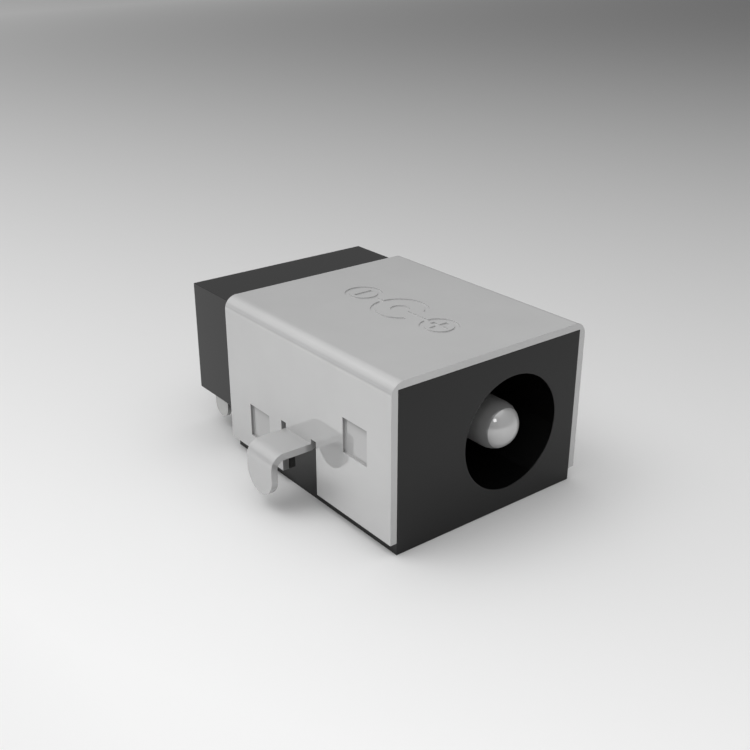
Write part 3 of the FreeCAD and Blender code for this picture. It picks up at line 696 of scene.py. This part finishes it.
def folded_strip(route, width, thickness, material):
    """Sweep a strip along (x, y, bend radius) points; it lies in XY and is centred on Z zero."""
    mesh = bpy.data.meshes.new("strip_route")
    mesh.from_pydata([(across, along, 0) for across, along, bend in route],
                     [(here, here + 1) for here in range(len(route) - 1)], [])
    bends = mesh.attributes.new("bend", "FLOAT", "POINT")
    for number, (across, along, bend) in enumerate(route):
        bends.data[number].value = bend
    piece = run_tree(mesh, folded_strip_tree(material), {
        "Width": width, "Thickness": thickness, "Bend Steps": BEND_STEPS})
    work = bmesh.new()
    work.from_mesh(piece.data)
    bmesh.ops.remove_doubles(work, verts=work.verts, dist=CLOSE_IN_STRIP)
    bmesh.ops.recalc_face_normals(work, faces=work.faces)
    work.to_mesh(piece.data)
    work.free()
    return piece


def squares_at(points, side, depth, material):
    """Put one block at each point, for pressing the squares."""
    mesh = bpy.data.meshes.new("square_points")
    mesh.from_pydata(points, [], [])
    return run_tree(mesh, squares_tree(material), {"Side": side, "Depth": depth})


def tip_cutter(middle, width, tip):
    """Make the tool that leaves a half round tip on legs that hang down in planes across X."""
    radius = width / 2
    reach = radius + PAST_LEG
    outline = arc((middle, tip + radius), radius, 180, 360, TIP_STEPS)
    outline += [(middle + reach, tip + radius), (middle + reach, tip - PAST),
                (middle - reach, tip - PAST), (middle - reach, tip + radius)]
    return prism(outline, SHELL_LOW.x - PAST, SHELL_HIGH.x + PAST, "X")


def make_shield(shield, mark, material):
    """Fold the shield, free its hook legs, press its squares and engrave its mark."""
    inside = HOUSING_HIGH.x + shield.clearance
    outside = inside + SHEET
    top, low, bend = SHELL_HIGH.z, SHELL_LOW.z, shield.bend
    outline = [(-outside, low)]
    outline += arc((bend - outside, top - bend), bend, 180, 90, BEND_STEPS)
    outline += arc((outside - bend, top - bend), bend, 90, 0, BEND_STEPS)
    outline += [(outside, low), (inside, low), (inside, HOUSING_HIGH.z), (-inside, HOUSING_HIGH.z),
                (-inside, low)]
    shell = prism(outline, SHELL_LOW.y, SHELL_HIGH.y, "Y")
    half = shield.hook_width / 2 + shield.hook_notch
    notch_top = shield.hook_top + shield.hook_rise
    window = rectangle(HOOK_MIDDLE - half, low - PAST, HOOK_MIDDLE + half, notch_top)
    cut(shell, prism(window, -outside - PAST, outside + PAST, "X"))
    for side in (-1, 1):
        join(shell, make_hook(shield, side, outside, notch_top, material))
    cut(shell, tip_cutter(HOOK_MIDDLE, shield.hook_width, shield.hook_tip))
    press_squares(shell, shield, inside, outside, material)
    round_edges(shell, shield.edge)
    engrave_mark(shell, mark, top)
    return shell


def make_hook(shield, side, outside, notch_top, material):
    """Bend one hook leg out of the wall, along and down."""
    half = SHEET / 2
    wall = outside - half
    leg = SHELL_HIGH.x - half
    shelf = shield.hook_top - half
    hook = folded_strip((
        (side * wall, notch_top + SEAM, 0),
        (side * wall, shelf, shield.hook_root + half),
        (side * leg, shelf, shield.hook_bend + half),
        (side * leg, shield.hook_tip, 0),
    ), shield.hook_width, SHEET, material)
    hook.data.transform(Matrix.Translation((0, HOOK_MIDDLE, 0)) @ Matrix.Rotation(math.pi / 2, 4, "X"))
    return hook


def press_squares(shell, shield, inside, outside, material):
    """Push the four squares in: a recess outside and the same block standing out inside."""
    depth = shield.square_depth
    recess = depth + PAST
    block = depth + SEAM
    for reach, thickness, change in (
            (outside - depth + recess / 2, recess, cut),
            (inside - depth + block / 2, block, join)):
        points = [(side * reach, along, up) for side in (-1, 1) for along, up in square_places(shield)]
        change(shell, squares_at(points, shield.square, thickness, material))


def shield_painted_shade(shield, finishes):
    """Give the rule for the painted shade on the shield's faces: rolled, sheared, or inside a pressed square.
    """
    outside = HOUSING_HIGH.x + shield.clearance + SHEET
    half = shield.square / 2 + 2 * shield.edge

    def measure(middle, normal):
        in_wall = outside - shield.square_depth - shield.edge < abs(middle.x) < outside - shield.edge / 2
        pressed = [up for along, up in square_places(shield)
                   if in_wall and max(abs(middle.y - along), abs(middle.z - up)) < half]
        # Inside a pressed square, painted shade darkens the walls and the floor, a wall that looks up gets
        # painted light, and the floor gets a painted shadow under the square's upper edge.
        if pressed and abs(normal.x) < FACING:
            return finishes.pressed_wall * (1 + UPWARD_PAINTED_LIGHT * normal.z), NO_SHADOW_EDGE
        if pressed:
            return finishes.pressed_floor, pressed[0] + shield.square / 2
        # Faces that look forwards, backwards or down are sheared rims, darker partly for their sheared finish
        # and partly as painted shade.
        rolled = abs(normal.y) < FACING and normal.z > -FACING
        # The hook legs' rolled faces carry painted shade.
        if abs(middle.x) > outside + shield.edge:
            return (finishes.hook_face if rolled else finishes.hook_edge), NO_SHADOW_EDGE
        return (1.0 if rolled else finishes.rim), NO_SHADOW_EDGE

    return measure


def engrave_mark(shell, mark, top):
    """Engrave the centre-positive symbol: plus ring in front, open arc round a dot, minus ring."""
    middle = FRONT + mark.middle
    plus, minus = middle - mark.pitch, middle + mark.pitch
    half = mark.line / 2
    low, high = top - mark.depth, top + PAST
    for place in (plus, minus):
        ring = prism(circle((0, place), mark.ring, MARK_STEPS), low, high, "Z")
        core = prism(circle((0, place), mark.ring - mark.line, MARK_STEPS), low - PAST, high + PAST, "Z")
        cut(ring, core)
        cut(shell, ring)
    outlines = [
        open_arc(middle, mark),
        circle((0, middle), mark.dot, MARK_STEPS),
        rectangle(-half, plus + mark.ring - half, half, middle),
        rectangle(-half, middle + mark.arc - half, half, minus - mark.ring + half),
        rectangle(-mark.sign, minus - half, mark.sign, minus + half),
        cross(plus, mark.sign, half),
    ]
    for outline in outlines:
        cut(shell, prism(outline, low, high, "Z"))
    weigh_mark_edges(shell, mark, top)
    round_edges(shell, mark.edge, weighted=True)


def open_arc(middle, mark):
    """Outline the mark's middle arc, open towards the plus sign."""
    inner = mark.arc - mark.line
    outer_turn = math.degrees(math.asin(mark.opening / 2 / mark.arc))
    inner_turn = math.degrees(math.asin(mark.opening / 2 / inner))
    outline = arc((0, middle), mark.arc, outer_turn - 90, 270 - outer_turn, MARK_STEPS)
    return outline + arc((0, middle), inner, 270 - inner_turn, inner_turn - 90, MARK_STEPS)


def cross(middle, reach, half):
    """Outline the plus sign."""
    corner = [(reach, -half), (reach, half), (half, half)]
    outline = []
    for turn in range(4):
        quarter = turn * math.pi / 2
        outline += [(x * math.cos(quarter) - y * math.sin(quarter),
                     middle + x * math.sin(quarter) + y * math.cos(quarter)) for x, y in corner]
    return outline


def weigh_mark_edges(shell, mark, top):
    """Mark the engraving's edges for rounding."""
    reach = mark.arc + mark.line
    lowest = top - mark.depth - mark.edge
    work = bmesh.new()
    work.from_mesh(shell.data)
    weight = work.edges.layers.float.new("bevel_weight_edge")
    for edge in work.edges:
        near_top = all(abs(vert.co.x) < reach and vert.co.z > lowest for vert in edge.verts)
        if near_top and edge.is_manifold and edge.calc_face_angle() > SHARP:
            edge[weight] = 1.0
    work.to_mesh(shell.data)
    work.free()


def leaf_height():
    """Give the width of the leaf, which is centred on the socket's axis."""
    return 2 * (SPRING_HIGH.z - AXIS_Z)


def leaf_route(contacts):
    """Work out the leaf's route: root, straight run, bump and free end."""
    half = contacts.thickness / 2
    root_x = SPRING_LOW.x + half
    root_depth = LEG_REAR - contacts.leg - contacts.root_run
    bump_x = SPRING_HIGH.x - half - contacts.bump
    bump_y = FRONT + contacts.bump_depth
    run_x = bump_x - root_x - contacts.root_bend
    run_y = root_depth - bump_y
    both_bends = contacts.root_bend + contacts.bump
    lean = math.atan(run_x / run_y) + math.asin(both_bends / math.hypot(run_x, run_y))
    turn = contacts.group.tail_lean
    first_corner = root_depth - contacts.root_bend * math.tan(lean / 2)
    onward = contacts.bump * math.tan((lean + turn) / 2)
    corner_x = bump_x + contacts.bump * math.cos(lean) + onward * math.sin(lean)
    corner_y = bump_y + contacts.bump * math.sin(lean) - onward * math.cos(lean)
    last = onward + contacts.tail_run
    return (
        (root_x, LEG_REAR, 0),
        (root_x, first_corner, contacts.root_bend),
        (corner_x, corner_y, contacts.bump),
        (corner_x - last * math.sin(turn), corner_y - last * math.cos(turn), 0),
    )


def square_places(shield):
    """List the pressed squares' middles on a side wall, as depth and height."""
    return [(FRONT + shield.front_square, shield.front_square_height),
            (FRONT + shield.rear_square, shield.rear_square_height)]


def peg_places(mouldings):
    """List the axes of the cap's two pegs."""
    return [(CAP_LOW.x + mouldings.peg_edge + mouldings.cap_side, CAP_HIGH.z - mouldings.peg_edge),
            (CAP_HIGH.x - mouldings.peg_edge, BOARD + mouldings.cap_floor + mouldings.peg_edge)]


def make_housing(mouldings, shield, contacts, material):
    """Mould the housing: socket, pin seat, spring channel, peg holes and pockets for the squares."""
    housing = prism(rectangle(HOUSING_LOW.x, HOUSING_LOW.z, HOUSING_HIGH.x, HOUSING_HIGH.z),
                    FRONT, REAR_FACE, "Y")
    axis = (AXIS_X, AXIS_Z)
    flange_floor = REAR_FACE - mouldings.flange
    holes = [
        (circle(axis, mouldings.socket), FRONT - PAST, SOCKET_FLOOR),
        (circle(axis, mouldings.seat + mouldings.play), SOCKET_FLOOR - PAST, REAR_FACE + PAST),
        (circle(axis, AXIS_X - PIN_LOW.x + mouldings.play), flange_floor, REAR_FACE + PAST),
    ]
    holes += [(circle(place, mouldings.peg + mouldings.play), CAP_LOW.y - mouldings.play, REAR_FACE + PAST)
              for place in peg_places(mouldings)]
    for outline, low, high in holes:
        cut(housing, prism(outline, low, high, "Y"))
    cut(housing, channel_tool(mouldings, contacts))
    side = shield.square + 2 * mouldings.pocket_gap
    depth = shield.square_depth + mouldings.pocket_gap + PAST
    reach = HOUSING_HIGH.x + PAST - depth / 2
    points = [(sign * reach, along, up) for sign in (-1, 1) for along, up in square_places(shield)]
    cut(housing, squares_at(points, side, depth, material))
    round_edges(housing, mouldings.edge)
    return housing


def channel_tool(mouldings, contacts):
    """Make the tool for the spring's channel beside the socket."""
    left = HOUSING_LOW.x + mouldings.channel_wall
    front = leaf_route(contacts)[-1][1] - mouldings.channel_front
    step = BREAK_LOW.y
    outline = [(left, front), (AXIS_X, front), (AXIS_X, step), (BREAK_HIGH.x, step),
               (BREAK_HIGH.x, REAR_FACE + PAST), (left, REAR_FACE + PAST)]
    half = leaf_height() / 2 + mouldings.channel_gap
    return prism(outline, AXIS_Z - half, AXIS_Z + half, "Z")


def make_cap(mouldings, contacts):
    """Mould the rear cap: a box with a cavity, slots for the legs and two pegs."""
    cap = prism(rectangle(CAP_LOW.x, BOARD, CAP_HIGH.x, CAP_HIGH.z), REAR_FACE, CAP_HIGH.y, "Y")
    floor_top = BOARD + mouldings.cap_floor
    cavity = rectangle(CAP_LOW.x + mouldings.cap_side, floor_top,
                       TERMINAL_HIGH.x + mouldings.cavity_gap, TERMINAL_HIGH.z + mouldings.cavity_gap)
    cut(cap, prism(cavity, REAR_FACE - PAST, CAP_HIGH.y - mouldings.cap_rear, "Y"))
    gap = mouldings.slot_gap
    leg_front = LEG_REAR - contacts.leg
    slots = [rectangle(left - gap, leg_front - gap, left + contacts.thickness + gap, LEG_REAR + gap)
             for left in (SPRING_LOW.x, BREAK_LOW.x)]
    slots.append(rectangle(TERMINAL_LOW.x - gap, REAR_FACE - PAST, TERMINAL_HIGH.x + gap,
                           TERMINAL_HIGH.y + gap))
    for slot in slots:
        cut(cap, prism(slot, BOARD - PAST, floor_top + SEAM, "Z"))
    round_edges(cap, mouldings.cap_edge)
    for place in peg_places(mouldings):
        peg = prism(circle(place, mouldings.peg, MARK_STEPS), CAP_LOW.y, REAR_FACE + SEAM, "Y")
        join(cap, peg)
    return cap


def turn_profile(profile):
    """Turn (radius, depth) points about the socket's axis into a closed solid."""
    work = bmesh.new()
    rings = []
    for radius, depth in profile:
        if radius == 0:
            rings.append([work.verts.new((AXIS_X, depth, AXIS_Z))])
        else:
            rings.append([work.verts.new((x, depth, z)) for x, z in circle((AXIS_X, AXIS_Z), radius)])
    for first, second in zip(rings, rings[1:]):
        for here in range(ROUND_STEPS):
            after = (here + 1) % ROUND_STEPS
            ends = [first[here % len(first)], first[after % len(first)],
                    second[after % len(second)], second[here % len(second)]]
            work.faces.new(list(dict.fromkeys(ends)))
    return new_piece(work)


def make_pin(mouldings, contacts):
    """Turn the centre pin: dome, shank, seat, flange, tail and rivet head."""
    edge = contacts.pin_edge
    flange = AXIS_X - PIN_LOW.x
    flange_front = REAR_FACE - mouldings.flange
    rivet_seat = TERMINAL_HIGH.y
    profile = arc((0, PIN_LOW.y + PIN_RADIUS), PIN_RADIUS, -90, 0, BEND_STEPS)
    profile[0] = (0, PIN_LOW.y)
    shank = PIN_LOW.y + PIN_RADIUS
    # The shank is cut into rings so that its painted shade can change from ring to ring.
    profile += [(PIN_RADIUS, shank + (SOCKET_FLOOR - shank) * step / SHANK_STEPS)
                for step in range(1, SHANK_STEPS + 1)]
    profile += arc((mouldings.seat - edge, SOCKET_FLOOR + edge), edge, -90, 0, SHOULDER_STEPS)
    profile += [(mouldings.seat, flange_front)]
    profile += arc((flange - edge, flange_front + edge), edge, -90, 0, SHOULDER_STEPS)
    profile += [(flange, REAR_FACE), (contacts.tail, REAR_FACE), (contacts.tail, rivet_seat)]
    profile += [(contacts.rivet, rivet_seat), (contacts.tail, PIN_HIGH.y), (0, PIN_HIGH.y)]
    return turn_profile(profile)


def make_spring(contacts, material):
    """Bend the leaf and give it its leg."""
    leaf = folded_strip(leaf_route(contacts), leaf_height(), contacts.thickness, material)
    leaf.data.transform(Matrix.Translation((0, 0, AXIS_Z)))
    leg = rectangle(LEG_REAR - contacts.leg, SPRING_LOW.z, LEG_REAR, SPRING_HIGH.z)
    join(leaf, prism(leg, SPRING_LOW.x, SPRING_LOW.x + contacts.thickness, "X"))
    round_tip(leaf, contacts)
    round_edges(leaf, contacts.edge)
    return leaf


def round_tip(piece, contacts):
    """Round the tip of a side leg."""
    middle = LEG_REAR - contacts.leg / 2
    cut(piece, tip_cutter(middle, contacts.leg, SPRING_LOW.z))


def make_break(contacts):
    """Stamp the break contact: a strip that ends at the leaf, and its leg."""
    leg_front = LEG_REAR - contacts.leg
    leaf_low = AXIS_Z - leaf_height() / 2
    outline = [(LEG_REAR, BREAK_LOW.z), (LEG_REAR, BREAK_HIGH.z), (BREAK_LOW.y, BREAK_HIGH.z),
               (BREAK_LOW.y, leaf_low), (leg_front, leaf_low), (leg_front, BREAK_LOW.z)]
    blade = prism(outline, BREAK_LOW.x, BREAK_HIGH.x, "X")
    round_tip(blade, contacts)
    round_edges(blade, contacts.edge)
    return blade


def make_terminal(contacts):
    """Stamp the pin's terminal: round head, shoulders at board level and a leg."""
    half = contacts.leg / 2
    head = TERMINAL_HIGH.x - AXIS_X
    tip = TERMINAL_LOW.z
    outline = arc((AXIS_X, AXIS_Z), head, 0, 180, TIP_STEPS)
    outline += [(TERMINAL_LOW.x, BOARD), (AXIS_X - half, BOARD)]
    outline += arc((AXIS_X, tip + half), half, 180, 360, TIP_STEPS)
    outline += [(AXIS_X + half, BOARD), (TERMINAL_HIGH.x, BOARD)]
    plate = prism(outline, TERMINAL_LOW.y, TERMINAL_HIGH.y, "Y")
    hole = prism(circle((AXIS_X, AXIS_Z), contacts.tail), TERMINAL_LOW.y - PAST, TERMINAL_HIGH.y + PAST, "Y")
    cut(plate, hole)
    round_edges(plate, contacts.edge)
    return plate


def material_named(name, make):
    """Give a material that is made once and shared."""
    return bpy.data.materials.get(name) or make()


def shield_metal(finishes):
    """Give the shield's plating."""
    return material_named("bright_tin_plate", lambda: plated_metal(
        "bright_tin_plate", finishes.plating, finishes.mirror, finishes.plating_roughness, ROLLED_ALONG,
        finishes.pressed_edge))


def contact_metal(finishes):
    """Give the contacts' plating."""
    return material_named("dull_tin_plate", lambda: plated_metal(
        "dull_tin_plate", finishes.contact_plating, finishes.contact_mirror, finishes.contact_roughness,
        ROLLED_UPRIGHT))


def pin_metal(finishes):
    """Give the turned pin's plating."""
    return material_named("turned_tin_plate", lambda: plated_metal(
        "turned_tin_plate", finishes.plating, finishes.pin_mirror, finishes.plating_roughness, TURNED))


def pin_painted_shade(finishes):
    """Give the rule for the painted shade on the pin's faces: none on the tip, then painted shade on the
    shank that lightens inwards.
    """

    def measure(middle, normal):
        if normal.y < -math.cos(UNSHADED_TIP_TURN):
            return 1.0, NO_SHADOW_EDGE
        return min(finishes.pin_shank + finishes.pin_gain * (middle.y - PIN_LOW.y), 1.0), NO_SHADOW_EDGE

    return measure


def black_plastic(finishes):
    """Give the black moulding's surface."""
    return material_named("black_moulding", lambda: moulded_plastic(
        "black_moulding", finishes.moulding, finishes.moulding_roughness))


class JACK_OT_shield_shell(Operator):
    """Fold the sheet-metal shield with its hook legs, pressed squares and polarity mark"""
    bl_idname = "jack.shield_shell"
    bl_label = "Shield Shell"

    def execute(self, context):
        scene = context.scene
        metal = shield_metal(scene.jack_finishes)
        shield = Lengths(scene.jack_shield)
        shell = make_shield(shield, Lengths(scene.jack_mark), metal)
        finish_piece(shell, "shield_shell", metal,
                     shield_painted_shade(shield, scene.jack_finishes))
        return {"FINISHED"}


class JACK_OT_mouldings(Operator):
    """Mould the front housing and the rear cap"""
    bl_idname = "jack.mouldings"
    bl_label = "Housing and Cap"

    def execute(self, context):
        scene = context.scene
        plastic = black_plastic(scene.jack_finishes)
        mouldings = Lengths(scene.jack_mouldings)
        contacts = Lengths(scene.jack_contacts)
        housing = make_housing(mouldings, Lengths(scene.jack_shield), contacts, plastic)
        finish_piece(housing, "front_housing", plastic)
        finish_piece(make_cap(mouldings, contacts), "rear_cap", plastic)
        return {"FINISHED"}


class JACK_OT_center_pin(Operator):
    """Turn the centre pin"""
    bl_idname = "jack.center_pin"
    bl_label = "Centre Pin"

    def execute(self, context):
        scene = context.scene
        pin = make_pin(Lengths(scene.jack_mouldings), Lengths(scene.jack_contacts))
        finishes = scene.jack_finishes
        finish_piece(pin, "center_pin", pin_metal(finishes), pin_painted_shade(finishes))
        return {"FINISHED"}


class JACK_OT_flat_contacts(Operator):
    """Bend the sleeve spring and stamp the break contact and the pin's terminal"""
    bl_idname = "jack.flat_contacts"
    bl_label = "Flat Contacts"

    def execute(self, context):
        scene = context.scene
        metal = contact_metal(scene.jack_finishes)
        contacts = Lengths(scene.jack_contacts)
        finish_piece(make_spring(contacts, metal), "sleeve_spring", metal)
        finish_piece(make_break(contacts), "break_contact", metal)
        finish_piece(make_terminal(contacts), "pin_terminal", metal)
        return {"FINISHED"}


class JACK_OT_stage(Operator):
    """Lay the floor, hang the lights and set the camera"""
    bl_idname = "jack.stage"
    bl_label = "Stage"

    def execute(self, context):
        stage = context.scene.jack_stage
        lay_floor(stage)
        light_scene(stage)
        set_camera(stage)
        context.scene.view_settings.view_transform = "Standard"
        return {"FINISHED"}


def lay_floor(stage):
    """Lay a floor whose colour holds a painted pool of light: palest at the left front, with painted shade to
    the right, the rear and the far left.
    """
    reach = stage.floor_reach
    mesh = bpy.data.meshes.new("floor")
    mesh.from_pydata([(x, y, 0) for x, y in rectangle(-reach, -reach, reach, reach)], [], [(0, 1, 2, 3)])
    floor = bpy.data.objects.new("floor", mesh)
    bpy.context.scene.collection.objects.link(floor)
    material, tree = new_material("pale_floor")
    place = tree.node("ShaderNodeTexCoord").outputs["Object"]
    # The painted pools of light, capped by painted shade towards the far left.
    near = tree.along(place, NEAR_GROWTH).exp() * stage.floor_glow
    rear = (tree.along(place, REAR_GROWTH).exp() * REAR_GLOW).at_most(REAR_MOST)
    left = (tree.along(place, (LEFT_SLOPE, 0, 0)) + LEFT_LEVEL).at_least(LEFT_LEAST)
    shader = tree.node("ShaderNodeBsdfPrincipled", inputs={
        "Base Color": (near + rear + stage.floor_shade).at_most(PALEST).at_most(left),
        "Roughness": 0.9,
        "Specular IOR Level": 0.1})
    close_material(tree, shader)
    mesh.materials.append(material)


def light_scene(stage):
    """Light the stage: a soft sky with a panel in it, a large lamp at the upper left and a small one."""
    world = bpy.data.worlds.new("studio")
    world.use_nodes = True
    bpy.context.scene.world = world
    tree = NodeTree(world.node_tree)
    direction = tree.node("ShaderNodeTexCoord").outputs["Generated"]
    aim = Vector(stage.camera_aim[:2]).normalized()
    stops = [(up, (level / SKY_PEAK,) * 3) for up, level in SKY_LEVELS]
    height = tree.along(direction, (0, 0, 1))
    sky = tree.field("ShaderNodeValToRGB", {"stops": stops}, {"Fac": height}) * SKY_PEAK
    ahead = tree.along(direction, (aim.x, aim.y, 0)).at_least(0)
    left = tree.along(direction, (-aim.y, aim.x, 0)).at_least(0)
    panel = ((tree.along(direction, Vector(stage.panel_direction).normalized()) - 1) * PANEL_FOCUS).exp()
    glow = sky + ahead * AHEAD_GLOW + left * left * LEFT_GLOW + panel * stage.panel_strength
    shine = tree.node("ShaderNodeBackground", inputs={"Strength": glow})
    tree.node("ShaderNodeOutputWorld", inputs={"Surface": shine.outputs[0]})
    key = hang_lamp("key_light", stage.key_place, "SQUARE", stage.key_side, stage.key_strength)
    # The plated top would show this lamp as a sharp white shape, so it isn't reflected.
    key.visible_glossy = False
    hang_lamp("pin_spark", stage.spark_place, "DISK", stage.spark_side, stage.spark_strength)


def hang_lamp(name, place, shape, side, strength):
    """Hang a flat lamp that faces the jack; its power follows from its size and radiance."""
    lamp = bpy.data.lights.new(name, "AREA")
    lamp.shape = shape
    lamp.size = side
    area = side ** 2 if shape == "SQUARE" else math.pi * side ** 2 / 4
    lamp.energy = strength * math.pi * area
    holder = bpy.data.objects.new(name, lamp)
    holder.location = place
    holder.rotation_euler = (-holder.location).to_track_quat("-Z", "Y").to_euler()
    bpy.context.scene.collection.objects.link(holder)
    return holder


def set_camera(stage):
    """Put the camera where the jack shows its front, left side and top."""
    lens = bpy.data.cameras.new("camera")
    lens.lens = stage.lens
    lens.sensor_width = SENSOR_WIDTH
    lens.clip_start = NEAREST
    camera = bpy.data.objects.new("camera", lens)
    camera.location = stage.camera_place
    camera.rotation_euler = Vector(stage.camera_aim).to_track_quat("-Z", "Y").to_euler()
    bpy.context.scene.collection.objects.link(camera)
    bpy.context.scene.camera = camera


OPERATORS = (JACK_OT_shield_shell, JACK_OT_mouldings, JACK_OT_center_pin, JACK_OT_flat_contacts,
             JACK_OT_stage)


class JACK_PT_panel(Panel):
    """Lists the jack's operators and sizes in the sidebar"""
    bl_idname = "JACK_PT_panel"
    bl_label = "Barrel Jack"
    bl_space_type = "VIEW_3D"
    bl_region_type = "UI"
    bl_category = "Barrel Jack"

    def draw(self, context):
        for operator in OPERATORS:
            self.layout.operator(operator.bl_idname)
        for name in GROUPS:
            box = self.layout.box()
            group = getattr(context.scene, name)
            for field in GROUPS[name].__annotations__:
                box.prop(group, field)


GROUPS = {
    "jack_shield": JackShield,
    "jack_mark": JackMark,
    "jack_mouldings": JackMouldings,
    "jack_contacts": JackContacts,
    "jack_finishes": JackFinishes,
    "jack_stage": JackStage,
}
CLASSES = (*GROUPS.values(), *OPERATORS, JACK_PT_panel)


def register():
    for item in CLASSES:
        bpy.utils.register_class(item)
    for name, group in GROUPS.items():
        setattr(bpy.types.Scene, name, PointerProperty(type=group))


def unregister():
    for name in GROUPS:
        delattr(bpy.types.Scene, name)
    for item in reversed(CLASSES):
        bpy.utils.unregister_class(item)


def main():
    """Build every piece and the stage."""
    register()
    bpy.ops.jack.shield_shell()
    bpy.ops.jack.mouldings()
    bpy.ops.jack.center_pin()
    bpy.ops.jack.flat_contacts()
    bpy.ops.jack.stage()


if __name__ == "__main__":
    main()
